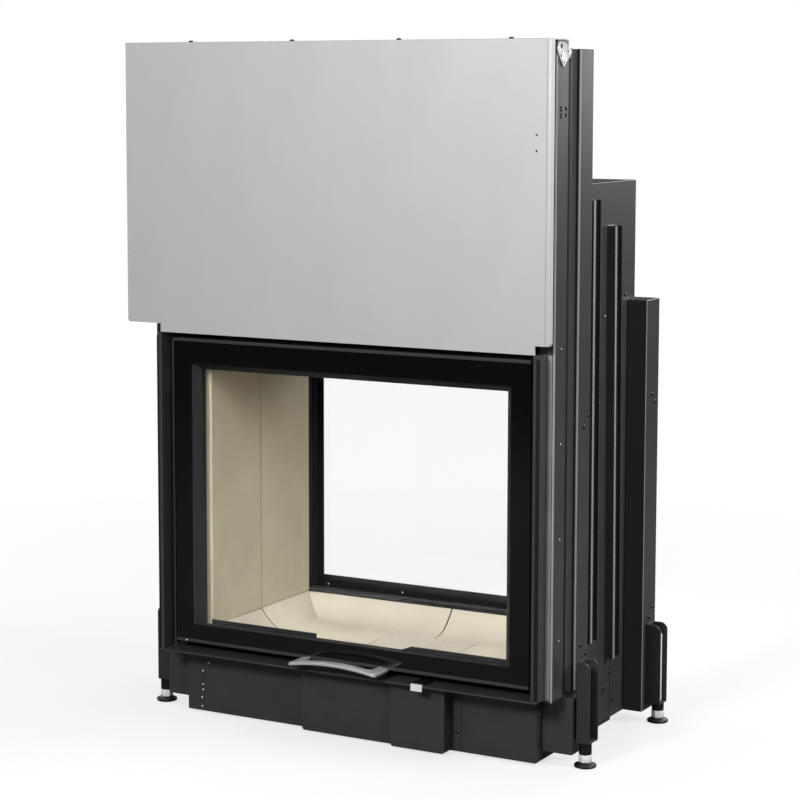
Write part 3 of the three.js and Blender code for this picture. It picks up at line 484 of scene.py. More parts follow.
def fold_highlight(name: str, x: float, y: float, radius: float, span: Pair) -> None:
    """Painted highlight: a thin light strip on the rounded front fold of an upright sheet, on both sides of the object.

    Args:
        name: the piece's name, to which the side is added.
        x: the sheet's outer face on the right side.
        y: its front face.
        radius: the fold's outer radius.
        span: lower and upper end in Z.
    """
    centre, (start, end) = (x - radius, y + radius), FOLD_ARC
    outline = arc(*centre, radius + SKIN_OUT, start, end, 6) + arc(*centre, radius - SKIN_IN, end, start, 6)
    for side_name, side in SIDES:
        skin = made(add_plate, [(side * a, b) for a, b in outline], Axis.Z, *span)
        piece(f"{name}_{side_name}", skin, HIGHLIGHT_PAINT, sharp=30)


def body_of(node: str) -> str:
    """The body that a CAD node belongs to."""
    return frame["nodes"][node]["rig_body"]


def box_mm(node: str) -> tuple[Vector, Vector]:
    """Lowest and highest corner of a CAD node in millimetres."""
    low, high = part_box(node)
    return low / MM, high / MM


@dataclass(frozen=True)
class Rounding:
    """A rounded edge: its width, its segments, and which edges take it."""

    width_mm: float
    segments: int = 2
    where: EdgeRule | None = None

    def apply(self, shape: Shape, edges: Iterable[bmesh.types.BMEdge]) -> None:
        """Bevels the edges."""
        size = {"offset": self.width_mm * MM, "segments": self.segments, "profile": 0.5}
        bmesh.ops.bevel(shape, geom=list(edges), **size, affect="EDGES", clamp_overlap=False)


def sheet_copy(node: str) -> Shape:
    """Merged copy of a CAD node's mesh, with its flat faces joined.

    Args:
        node: the CAD node.

    Returns:
        The copy, in metres.
    """
    shape = bmesh.new()
    shape.from_mesh(frame["nodes"][node].data)
    bmesh.ops.remove_doubles(shape, verts=shape.verts, dist=MERGE * MM)
    flat = math.radians(FLAT)
    bmesh.ops.dissolve_limit(
        shape, angle_limit=flat, verts=shape.verts, edges=shape.edges, use_dissolve_boundaries=False
    )
    return shape


def round_edges(shape: Shape, rounding: Rounding, sharp: float = 35) -> None:
    """Rounds the sharp edges that the rule picks.

    Args:
        shape: the mesh.
        rounding: width, segments and rule.
        sharp: the angle in degrees past which an edge counts as sharp.
    """
    chosen = [
        edge
        for edge in shape.edges
        if len(edge.link_faces) == 2
        and edge.calc_face_angle(0.0) > math.radians(sharp)
        and (rounding.where is None or rounding.where(edge.verts[0].co / MM, edge.verts[1].co / MM))
    ]
    if chosen:
        rounding.apply(shape, chosen)


def softened(node: str, finish: AnyFinish, *roundings: Rounding, curved: bool = False) -> Thing:
    """Piece that stands for a CAD node, with its edges rounded as the real one's are.

    Args:
        node: the CAD node.
        finish: its surface.
        roundings: the rounded edges, widest first.
        curved: whether its main faces are curved, so that they aren't shaded flat.

    Returns:
        The settled piece.
    """
    shape = sheet_copy(node)
    for rounding in roundings:
        round_edges(shape, rounding)
    return piece(node + "_made", shape, finish, body_of(node), [node], even=not curved)


def add_block(shape: Shape, low: Point, high: Point) -> list[bmesh.types.BMVert]:
    """Adds a box between two corners in millimetres.

    Args:
        shape: the mesh that it is added to.
        low: the lowest corner.
        high: the highest corner.

    Returns:
        The new vertices.
    """
    size = [(b - a) * MM for a, b in zip(low, high)]
    middle = [(a + b) / 2 * MM for a, b in zip(low, high)]
    place = Matrix.Translation(middle) @ Matrix.Diagonal((*size, 1))
    return bmesh.ops.create_cube(shape, size=1.0, matrix=place)["verts"]


def rounded_block(shape: Shape, low: Point, high: Point, width: float) -> None:
    """Adds a box whose edges are rounded."""
    Rounding(width).apply(shape, {edge for vert in add_block(shape, low, high) for edge in vert.link_edges})


class Axis(Enum):
    """Main directions, as unit vectors."""

    X = (1, 0, 0)
    Y = (0, 1, 0)
    Z = (0, 0, 1)

    def turn(self) -> Matrix:
        """Matrix that turns +Z to this direction."""
        return Vector((0, 0, 1)).rotation_difference(Vector(self.value)).to_matrix().to_4x4()


def add_turned(shape: Shape, profile: Sequence[Pair], centre: Point, axis: Axis = Axis.Z, sides: int = 48) -> None:
    """Adds a solid of revolution.

    Args:
        shape: the mesh that it is added to.
        profile: radius and height pairs in millimetres, from one end on the axis to the other.
        centre: the point of height zero.
        axis: the direction of the height.
        sides: facets round the axis.
    """
    place = Matrix.Translation(Vector(centre) * MM) @ axis.turn()
    last = 360 * (sides - 1) / sides
    rings = []
    for radius, height in profile:
        spots = arc(0, 0, radius, 0, last, sides - 1) if radius else [(0.0, 0.0)]
        rings.append([shape.verts.new(place @ Vector((x * MM, y * MM, height * MM))) for x, y in spots])
    for lower, upper in zip(rings, rings[1:]):
        for i in range(sides):
            j = (i + 1) % sides
            corners = [lower[i % len(lower)], lower[j % len(lower)], upper[j % len(upper)], upper[i % len(upper)]]
            unique = list(dict.fromkeys(corners))
            if len(unique) > 2:
                shape.faces.new(unique)
    bmesh.ops.recalc_face_normals(shape, faces=shape.faces)


def add_plate(shape: Shape, outline: Sequence[Pair], plane: Axis, start: float, end: float) -> None:
    """Adds a flat plate with the outline, between two depths along the plane's normal.

    Args:
        shape: the mesh that it is added to.
        outline: corners in the plane: Y and Z for X, X and Z for Y, X and Y for Z.
        plane: the direction of the thickness.
        start: the first depth.
        end: the second depth.
    """
    sides = []
    for depth in (start, end):
        spots = [{Axis.X: (depth, a, b), Axis.Y: (a, depth, b), Axis.Z: (a, b, depth)}[plane] for a, b in outline]
        sides.append([shape.verts.new(Vector(spot) * MM) for spot in spots])
    front, back = sides
    faces = [shape.faces.new(front), shape.faces.new(back[::-1])]
    for i in range(len(outline)):
        j = (i + 1) % len(outline)
        faces.append(shape.faces.new([front[j], front[i], back[i], back[j]]))
    bmesh.ops.recalc_face_normals(shape, faces=faces)


def add_ring(shape: Shape, loops: Sequence[tuple[Rect, float]]) -> None:
    """Adds a closed frame whose cross-section runs through rectangles at several depths.

    Args:
        shape: the mesh that it is added to.
        loops: for each corner of the cross-section, the rectangle's low and high X, low and high Z, and its Y.
    """
    rings = []
    for (x0, x1, z0, z1), depth in loops:
        spots = [(x0, depth, z0), (x1, depth, z0), (x1, depth, z1), (x0, depth, z1)]
        rings.append([shape.verts.new(Vector(spot) * MM) for spot in spots])
    faces = []
    for ring, after in zip(rings, rings[1:] + rings[:1]):
        for i in range(4):
            j = (i + 1) % 4
            faces.append(shape.faces.new([ring[i], ring[j], after[j], after[i]]))
    bmesh.ops.recalc_face_normals(shape, faces=faces)


def wider(rect: Rect, by: float) -> Rect:
    """The rectangle, moved outwards on each side."""
    x0, x1, z0, z1 = rect
    return (x0 - by, x1 + by, z0 - by, z1 + by)


@dataclass(frozen=True)
class Bore:
    """A round hole: its centre, direction, radius and half length."""

    centre: Point
    axis: Axis
    radius: float
    reach: float = 6.0


def bored(shape: Shape, bores: Iterable[Bore]) -> Shape:
    """Drills holes through a mesh.

    Args:
        shape: the mesh, which is freed.
        bores: the holes.

    Returns:
        The drilled mesh.
    """
    cutters = bmesh.new()
    for bore in bores:
        ends = [(0, -bore.reach), (bore.radius, -bore.reach), (bore.radius, bore.reach), (0, bore.reach)]
        add_turned(cutters, ends, bore.centre, bore.axis, 20)
    blank = mesh_object("blank", shape)
    drill = mesh_object("drill", cutters)
    cut = blank.modifiers.new("drill", "BOOLEAN")
    cut.object = drill
    cut.operation = "DIFFERENCE"
    cut.solver = "EXACT"
    result = bmesh.new()
    result.from_mesh(blank.evaluated_get(bpy.context.evaluated_depsgraph_get()).to_mesh())
    for spare in (blank, drill):
        bpy.data.objects.remove(spare)
    return result


# Repeated small pieces, made by geometry nodes


def new_tree(name: str, *floats: str, vectors: Sequence[str] = ()) -> tuple[Tree, Any]:
    """Starts a geometry tree, whose last input is the finish.

    Args:
        name: the tree's name.
        floats: the names of its number inputs.
        vectors: the names of its vector inputs.

    Returns:
        The tree and the outputs of its group input node.
    """
    tree = bpy.data.node_groups.new(name, "GeometryNodeTree")
    kinds = [("Geometry", "Geometry"), *((label, "Float") for label in floats)]
    kinds += [*((label, "Vector") for label in vectors), ("Finish", "Material")]
    for label, kind in kinds:
        tree.interface.new_socket(label, in_out="INPUT", socket_type="NodeSocket" + kind)
    tree.interface.new_socket("Geometry", in_out="OUTPUT", socket_type="NodeSocketGeometry")
    return tree, tree.nodes.new("NodeGroupInput").outputs


def end_tree(tree: Tree, geometry: Any, given: Any) -> Tree:
    """Closes a tree with Realize Instances and Set Material.

    Args:
        tree: the node tree.
        geometry: the node whose geometry is the result.
        given: the group input's outputs.

    Returns:
        The same tree.
    """
    real = add_node(tree, "GeometryNodeRealizeInstances", {"Geometry": geometry})
    dressed = add_node(tree, "GeometryNodeSetMaterial", {"Geometry": real, "Material": given["Finish"]})
    add_node(tree, "NodeGroupOutput", {0: dressed})
    return tree


def grown(
    name: str,
    base: Thing,
    tree: Tree,
    values: dict[str, Any],
    finish: Finish,
    body: str = "insert",
    nodes: Sequence[str] = (),
    blend_from: Blend | None = None,
) -> None:
    """Runs a tree on a mesh, keeps the result as a plain mesh and settles it.

    Args:
        name: the piece's name.
        base: points or a path. It is removed.
        tree: the geometry tree.
        values: the tree's named inputs, apart from the finish.
        finish: the piece's surface.
        body: the body that it rides on.
        nodes: the solids that it replaces.
        blend_from: as in settle.
    """
    modifier = base.modifiers.new("grow", "NODES")
    modifier.node_group = tree
    sockets = {item.name: item.identifier for item in tree.interface.items_tree if item.in_out == "INPUT"}
    for label, value in {**values, "Finish": finish.material()}.items():
        modifier[sockets[label]] = value
    bpy.context.view_layer.update()
    graph = bpy.context.evaluated_depsgraph_get()
    mesh = bpy.data.meshes.new_from_object(base.evaluated_get(graph), depsgraph=graph)
    base.modifiers.remove(modifier)
    bpy.data.objects.remove(base)
    mesh.name = name
    settle(smooth_object(name, mesh, 38), finish, body, nodes, blend_from)


def points_object(points: Sequence[Point], facing: Point) -> Thing:
    """Loose points in millimetres, which all face one way.

    Args:
        points: the places.
        facing: the direction that they face.

    Returns:
        The linked object.
    """
    mesh = bpy.data.meshes.new("points")
    mesh.from_pydata([Vector(p) * MM for p in points], [], [])
    for item in mesh.attributes.new("facing", "FLOAT_VECTOR", "POINT").data:
        item.vector = facing
    return placed("points", mesh)


def path_object(points: Sequence[Point], closed: bool = False) -> Thing:
    """Path through points in millimetres.

    Args:
        points: the corners.
        closed: whether the path ends where it starts.

    Returns:
        The linked object.
    """
    mesh = bpy.data.meshes.new("path")
    edges = [(i, i + 1) for i in range(len(points) - 1)]
    if closed:
        edges.append((len(points) - 1, 0))
    mesh.from_pydata([Vector(p) * MM for p in points], edges, [])
    return placed("path", mesh)


def even_path(tree: Tree, given: Any) -> Any:
    """The given path as a curve with evenly spaced points."""
    path = add_node(tree, "GeometryNodeMeshToCurve", {0: given["Geometry"]})
    return add_node(tree, "GeometryNodeResampleCurve", {"Curve": path, "Length": given["Spacing"]}, mode="LENGTH")


def swept(tree: Tree, curve: Any, section: Any) -> Any:
    """Solid of a section that follows a curve."""
    ends = {"Curve": curve, "Profile Curve": section, "Fill Caps": True}
    return add_node(tree, "GeometryNodeCurveToMesh", ends)


@cache
def screw_tree() -> Tree:
    """Pan head with a socket, set on every point and turned to the way that the point faces.

    Returns:
        The geometry tree.
    """
    tree, given = new_tree("screw_heads", "Head radius", "Head height", "Socket radius")
    head = add_node(tree, "GeometryNodeMeshUVSphere", {"Segments": 20, "Rings": 12, "Radius": 1.0})
    sizes = {0: given["Head radius"], 1: given["Head radius"], 2: given["Head height"]}
    scale = add_node(tree, "ShaderNodeCombineXYZ", sizes)
    dome = add_node(tree, "GeometryNodeTransform", {"Geometry": head, "Scale": scale})
    lift = add_node(tree, "ShaderNodeCombineXYZ", {2: given["Head height"]})
    hexagon = {"Vertices": 6, "Radius": given["Socket radius"], "Depth": given["Head height"]}
    socket = add_node(tree, "GeometryNodeMeshCylinder", hexagon)
    raised = add_node(tree, "GeometryNodeTransform", {"Geometry": socket, "Translation": lift})
    cut = add_node(tree, "GeometryNodeMeshBoolean", {0: dome, 1: raised}, operation="DIFFERENCE")
    facing = add_node(tree, "GeometryNodeInputNamedAttribute", {"Name": "facing"}, data_type="FLOAT_VECTOR")
    turn = add_node(tree, "FunctionNodeAlignRotationToVector", {"Vector": facing}, axis="Z")
    places = {"Points": given["Geometry"], "Instance": cut, "Rotation": turn}
    return end_tree(tree, add_node(tree, "GeometryNodeInstanceOnPoints", places), given)


@cache
def bead_tree() -> Tree:
    """Flat beads set side by side along a path, for weld seams and for the strands of a rope.

    Returns:
        The geometry tree.
    """
    sizes = ("Bead length", "Bead width", "Bead height")
    tree, given = new_tree("beads_along_path", "Spacing", *sizes, "Skew", vectors=["Facing"])
    points = add_node(tree, "GeometryNodeCurveToPoints", {"Curve": even_path(tree, given)}, mode="EVALUATED")
    ball = add_node(tree, "GeometryNodeMeshUVSphere", {"Segments": 8, "Rings": 5, "Radius": 1.0})
    size = add_node(tree, "ShaderNodeCombineXYZ", {i: given[label] for i, label in enumerate(sizes)})
    bead = add_node(tree, "GeometryNodeTransform", {"Geometry": ball, "Scale": size})
    along = add_node(tree, "FunctionNodeAlignRotationToVector", {"Vector": points.outputs["Tangent"]}, axis="X")
    facing = {"Rotation": along, "Vector": given["Facing"]}
    flat = add_node(tree, "FunctionNodeAlignRotationToVector", facing, axis="Z", pivot_axis="X")
    odd = calc(tree, "FLOORED_MODULO", add_node(tree, "GeometryNodeInputIndex"), 2.0)
    skew = calc(tree, "MULTIPLY", calc(tree, "MULTIPLY_ADD", odd, 2.0, -1.0), given["Skew"])
    lean = add_node(tree, "FunctionNodeEulerToRotation", {0: add_node(tree, "ShaderNodeCombineXYZ", {2: skew})})
    leaning = {"Rotation": flat, "Rotate By": lean}
    turn = add_node(tree, "FunctionNodeRotateRotation", leaning, rotation_space="LOCAL")
    beads = add_node(tree, "GeometryNodeInstanceOnPoints", {"Points": points, "Instance": bead, "Rotation": turn})
    return end_tree(tree, beads, given)


@cache
def thread_tree() -> Tree:
    """Ridge of a screw thread that climbs round a spindle.

    Returns:
        The geometry tree.
    """
    tree, given = new_tree("thread_ridge", "Radius", "Height", "Turns", "Ridge")
    climb = {"Start Radius": "Radius", "End Radius": "Radius", "Height": "Height", "Rotations": "Turns"}
    sizes = {"Resolution": 24, **{key: given[label] for key, label in climb.items()}}
    spiral = add_node(tree, "GeometryNodeCurveSpiral", sizes)
    section = add_node(tree, "GeometryNodeCurvePrimitiveCircle", {"Resolution": 4, "Radius": given["Ridge"]})
    places = {"Points": given["Geometry"], "Instance": swept(tree, spiral, section)}
    return end_tree(tree, add_node(tree, "GeometryNodeInstanceOnPoints", places), given)


@cache
def cable_tree() -> Tree:
    """Wire rope: six strands laid round a path.

    Returns:
        The geometry tree.
    """
    tree, given = new_tree("laid_wire_rope", "Radius", "Lay", "Spacing")
    gone = add_node(tree, "GeometryNodeSplineParameter").outputs["Length"]
    angle = calc(tree, "MULTIPLY", calc(tree, "DIVIDE", gone, given["Lay"]), 2 * math.pi)
    laid = add_node(tree, "GeometryNodeSetCurveTilt", {"Curve": even_path(tree, given), "Tilt": angle})
    strands = 6
    ring = add_node(tree, "GeometryNodeCurvePrimitiveCircle", {"Resolution": 4 * strands, "Radius": 1.0})
    turn = calc(tree, "MULTIPLY", add_node(tree, "GeometryNodeInputIndex"), math.pi / 2)
    swell = calc(tree, "MULTIPLY_ADD", calc(tree, "COSINE", turn), 0.12, 0.88)
    size = calc(tree, "MULTIPLY", swell, given["Radius"])
    spot = add_node(tree, "GeometryNodeInputPosition")
    moved = add_node(tree, "ShaderNodeVectorMath", {0: spot, "Scale": size}, operation="SCALE")
    section = add_node(tree, "GeometryNodeSetPosition", {0: ring, "Position": moved})
    return end_tree(tree, swept(tree, laid, section), given)


def rope_seal(name: str, low: Vector, high: Vector, body: str, nodes: Sequence[str] = (), width: float = 11.0) -> None:
    """Rope round a rectangle in X and Z, made of skewed strands.

    Args:
        name: the piece's name.
        low: lowest corner of the rope's box.
        high: highest corner of it.
        body: the body that it rides on.
        nodes: the solids that it replaces.
        width: the rope's width.
    """
    half, corner = width / 2, 12.0
    x0, x1, z0, z1 = wider((low.x, high.x, low.z, high.z), -half - corner)
    path = [
        (x, (low.y + high.y) / 2, z)
        for cx, cz, start in ((x1, z1, 0), (x0, z1, 90), (x0, z0, 180), (x1, z0, 270))
        for x, z in arc(cx, cz, corner, start, start + 90, 6)
    ]
    values = {
        "Spacing": 4.2 * MM,
        "Bead length": 4.6 * MM,
        "Bead width": (half - 0.4) * MM,
        "Bead height": (high.y - low.y) / 2 * MM,
        "Skew": math.radians(24),
        "Facing": (0.0, 1.0, 0.0),
    }
    grown(name, path_object(path, True), bead_tree(), values, ROPE, body, nodes)


def printed_pane(name: str, node: str, body: str, window: Rect) -> None:
    """Pane of clear glass with a printed border on its front.

    Args:
        name: the piece's name.
        node: the CAD node.
        body: the body that it rides on.
        window: the clear part: low and high X, low and high Z.
    """
    low, high = box_mm(node)
    film = low.y + PRINT_FILM
    glass = made(rounded_block, (low.x, film + 0.02, low.z), tuple(high), 0.5)
    piece(name, glass, PANE, body, [node], 5).visible_shadow = False
    outer = (low.x, high.x, low.z, high.z)
    border = made(add_ring, [(outer, low.y), (window, low.y), (window, film), (outer, film)])
    piece(name + "_print", border, PRINT, body)


def outer_fold(node: str, side: int) -> tuple[float, EdgeRule]:
    """Outer face of an upright sheet on one side, and the rule for its front fold.

    Args:
        node: the CAD node.
        side: -1 for the left side, 1 for the right one.

    Returns:
        The face's X, and the rule for round_edges.
    """
    low, high = box_mm(node)
    face = side * max(abs(low.x), abs(high.x))
    return face, lambda a, b: near(face, a.x, b.x) and near(low.y, a.y, b.y)


class Head(Enum):
    """Kinds of small screws and rivets: head radius, head height and socket radius in millimetres."""

    DOT = (1.4, 0.6, 0.5)
    PAN = (3.8, 2.4, 1.3)
    BEAM = (4.4, 3.2, 1.9)


@dataclass(frozen=True)
class ScrewRow:
    """Screws of one kind on one body."""

    name: str
    head: Head
    finish: Finish
    facing: Point
    points: Sequence[Point]
    body: str = "insert"

    def build(self) -> None:
        """Makes the heads as one plain mesh."""
        labels = ("Head radius", "Head height", "Socket radius")
        values = {label: size * MM for label, size in zip(labels, self.head.value)}
        grown(self.name, points_object(self.points, self.facing), screw_tree(), values, self.finish, self.body)


# Sub-assemblies


@dataclass
class Base:
    """Plinth, air boxes and the posts of the front feet."""

    edge: float = 1.4
    air_corner: float = 5.0

    def build(self) -> None:
        """Builds every piece of the base."""
        softened("plinth_box", ANTHRACITE, Rounding(self.edge))
        for node in ("air_box", "air_box_cover"):
            self._air_box(node)
        self._joint_plates()
        for name, _ in SIDES:
            softened("foot_post_" + name, ANTHRACITE, Rounding(1.2, 3))

    def _air_box(self, node: str) -> None:
        """Folded box with rounded lower corners.

        Args:
            node: the CAD node.
        """
        low, high = box_mm(node)

        def at_corner(a: Vector, b: Vector) -> bool:
            """Whether an edge is a lower outer corner of the box."""
            return near(low.z, a.z, b.z) and near(a.x, b.x) and (near(low.x, a.x) or near(high.x, a.x))

        softened(node, ANTHRACITE, Rounding(self.air_corner, 4, at_corner), Rounding(0.7, 3))

    def _joint_plates(self) -> None:
        """End caps and a joint strip that lap over the front of the plinth."""
        low, high = box_mm("plinth_box")
        shape = bmesh.new()
        for start, end, thick in ((low.x - 0.2, -293.0, 0.8), (291.0, high.x + 0.2, 0.8), (183.0, 193.5, 1.4)):
            rounded_block(shape, (start, low.y - thick, low.z + 1), (end, low.y + 0.4, high.z - 1), 0.35)
        piece("plinth_joint_plates", shape, ANTHRACITE, even=True)


@dataclass
class Feet:
    """Brackets with their screwed feet."""

    disc_radius: float = 17.5
    disc_height: float = 8.0
    nut_across: float = 18.6
    nut_top: float = 20.0
    sleeve_radius: float = 10.0
    core_radius: float = 5.25
    thread_radius: float = 5.45
    thread_pitch: float = 1.75
    thread_ridge: float = 0.5

    def build(self) -> None:
        """Builds the four feet and their brackets."""
        for side_name, _ in SIDES:
            for end in ("front", "rear"):
                bracket = f"foot_bracket_{end}_{side_name}"
                softened(bracket, THICK_BLACK, Rounding(0.7))
                self._foot(f"foot_{end}_{side_name}", bracket)

    def _foot(self, node: str, bracket: str) -> None:
        """Disc, nut, sleeve, spindle and thread of one foot.

        Args:
            node: the foot's CAD node.
            bracket: the CAD node of its bracket.
        """
        low, high = box_mm(node)
        bottom, end = box_mm(bracket)[0].z, high.z
        x, y = (low.x + high.x) / 2, (low.y + high.y) / 2
        body, place = body_of(node), (x, y, 0)
        r, h, s, c = self.disc_radius, self.disc_height, self.sleeve_radius, self.core_radius
        collar, seat, top = self.nut_across / 2 + 0.6, self.nut_top + 0.05, bottom - 0.5
        disc = [(0, 0), (r - 2.2, 0), (r - 0.6, 0.5), (r, 1.8), (r, 3.4), (r - 0.9, 4.6), (r - 3.5, 5.4)]
        disc += [(collar + 1, h - 1), (collar, h), (0, h)]
        piece(node + "_disc", made(add_turned, disc, place), POLYAMIDE, body, [node], 30)
        hexagon = arc(x, y, self.nut_across / math.sqrt(3), 30, 330, 5)
        nut = made(add_plate, hexagon, Axis.Z, h + 0.05, self.nut_top)
        round_edges(nut, Rounding(0.8), 30)
        piece(node + "_nut", nut, ZINC, body, sharp=30)
        sleeve = [(0, seat), (s - 0.6, seat), (s, self.nut_top + 0.7), (s, top - 0.7), (s - 0.6, top), (0, top)]
        piece(node + "_sleeve", made(add_turned, sleeve, place), BLACK, body, sharp=30)
        core = [(0, top), (c, top), (c, end - 1.4), (c - 1.1, end - 0.1), (0, end - 0.1)]
        piece(node + "_spindle", made(add_turned, core, place, Axis.Z, 24), ZINC, body, sharp=30)
        start = bottom + 4
        length = end - 3 - start
        values = {
            "Radius": self.thread_radius * MM,
            "Height": length * MM,
            "Turns": length / self.thread_pitch,
            "Ridge": self.thread_ridge * MM,
        }
        grown(node + "_thread", points_object([(x, y, start)], (0, 0, 1)), thread_tree(), values, ZINC, body)


@dataclass
class Front:
    """Surround, cover panel and top beam."""

    corner: float = 5.0
    fold: float = 1.1
    cover_foot: float = 660.0
    strip: Pair = (116.0, 640.0)
    lit_band: Pair = (346.1, 354.4)

    def build(self) -> None:
        """Builds every piece of the front."""
        softened("front_surround", ANTHRACITE, Rounding(0.9, 3))
        end = made(rounded_block, (-346.0, -215.8, 646.5), (-337.7, -204.0, 659.8), 0.6)
        piece("surround_end_left", end, BLACK)
        self._cover()
        self._cover_nuts()
        self._edge_shade_and_light()
        softened("top_beam", ANTHRACITE, Rounding(0.5))

    def _cover(self) -> None:
        """Folded sheet: the two lower corners are rounded and the folds have a small radius."""
        node = "cover_panel"
        low, high = box_mm(node)

        def at_side(a: Vector, b: Vector) -> bool:
            """Whether an edge lies in one outer side of the cover."""
            return near(a.x, b.x) and (near(low.x, a.x) or near(high.x, a.x))

        def at_corner(a: Vector, b: Vector) -> bool:
            """Whether an edge is a lower corner, seen from the front."""
            return at_side(a, b) and near(a.z, b.z) and abs(a.z - self.cover_foot) < self.corner

        def at_fold(a: Vector, b: Vector) -> bool:
            """Whether an edge is a front fold of a flange."""
            return near(low.y, a.y, b.y) and (at_side(a, b) or near(high.z, a.z, b.z))

        shape = sheet_copy(node)
        round_edges(shape, Rounding(self.corner, 5, at_corner))
        round_edges(shape, Rounding(self.fold, 4, at_fold))
        round_edges(shape, Rounding(0.3), 50)
        piece("cover_panel_sheet", shape, GALVANISED, "insert", [node], even=True)
        # Two thin strips beside the cover's right fold: painted shade, then a painted highlight.
        for name, start, end, finish in (("shade", 6.6, 5.2, ZINC_SHADE), ("line", 1.7, 0.4, HIGHLIGHT_ZINC)):
            foot = (high.x - start, low.y - 0.03, self.cover_foot + 4)
            strip = made(add_block, foot, (high.x - end, low.y + 0.1, high.z - 3))
            piece("cover_fold_" + name, strip, finish)

    def _cover_nuts(self) -> None:
        """Black rivet nuts behind the two small holes of the cover."""
        high = box_mm("cover_panel")[1]
        shape = bmesh.new()
        for drop in (142.0, 166.0):
            add_turned(shape, [(0, 0), (3, 0), (3, 3), (0, 3)], (high.x - 22.5, -216.4, high.z - drop), Axis.Y, 24)
        piece("cover_rivet_nuts", shape, BLACK)

    def _edge_shade_and_light(self) -> None:
        """Black strip along the outer front edge of each proud strip, which is painted shadow, and a light strip on the
        front of each column, which is painted light.
        """
        corners = [(342.6, -216.2), (342.6, -216.35), (346.2, -216.35), (346.2, -210), (346.02, -210), (346.02, -216.2)]
        for name, side in SIDES:
            # Black L-strip at the strip's outer front edge: painted shadow line.
            shadow_line = made(add_plate, [(side * x, y) for x, y in corners], Axis.Z, *self.strip)
            piece("strip_shadow_line_" + name, shadow_line, BLACK, sharp=20)
            # Light strip on the column's front: painted light.
            x0, x1 = beside(side, *self.lit_band)
            lit_band = made(add_block, (x0, -185.3, 112), (x1, -185.1, 644))
            piece("column_front_painted_light_" + name, lit_band, HIGHLIGHT_PAINT)


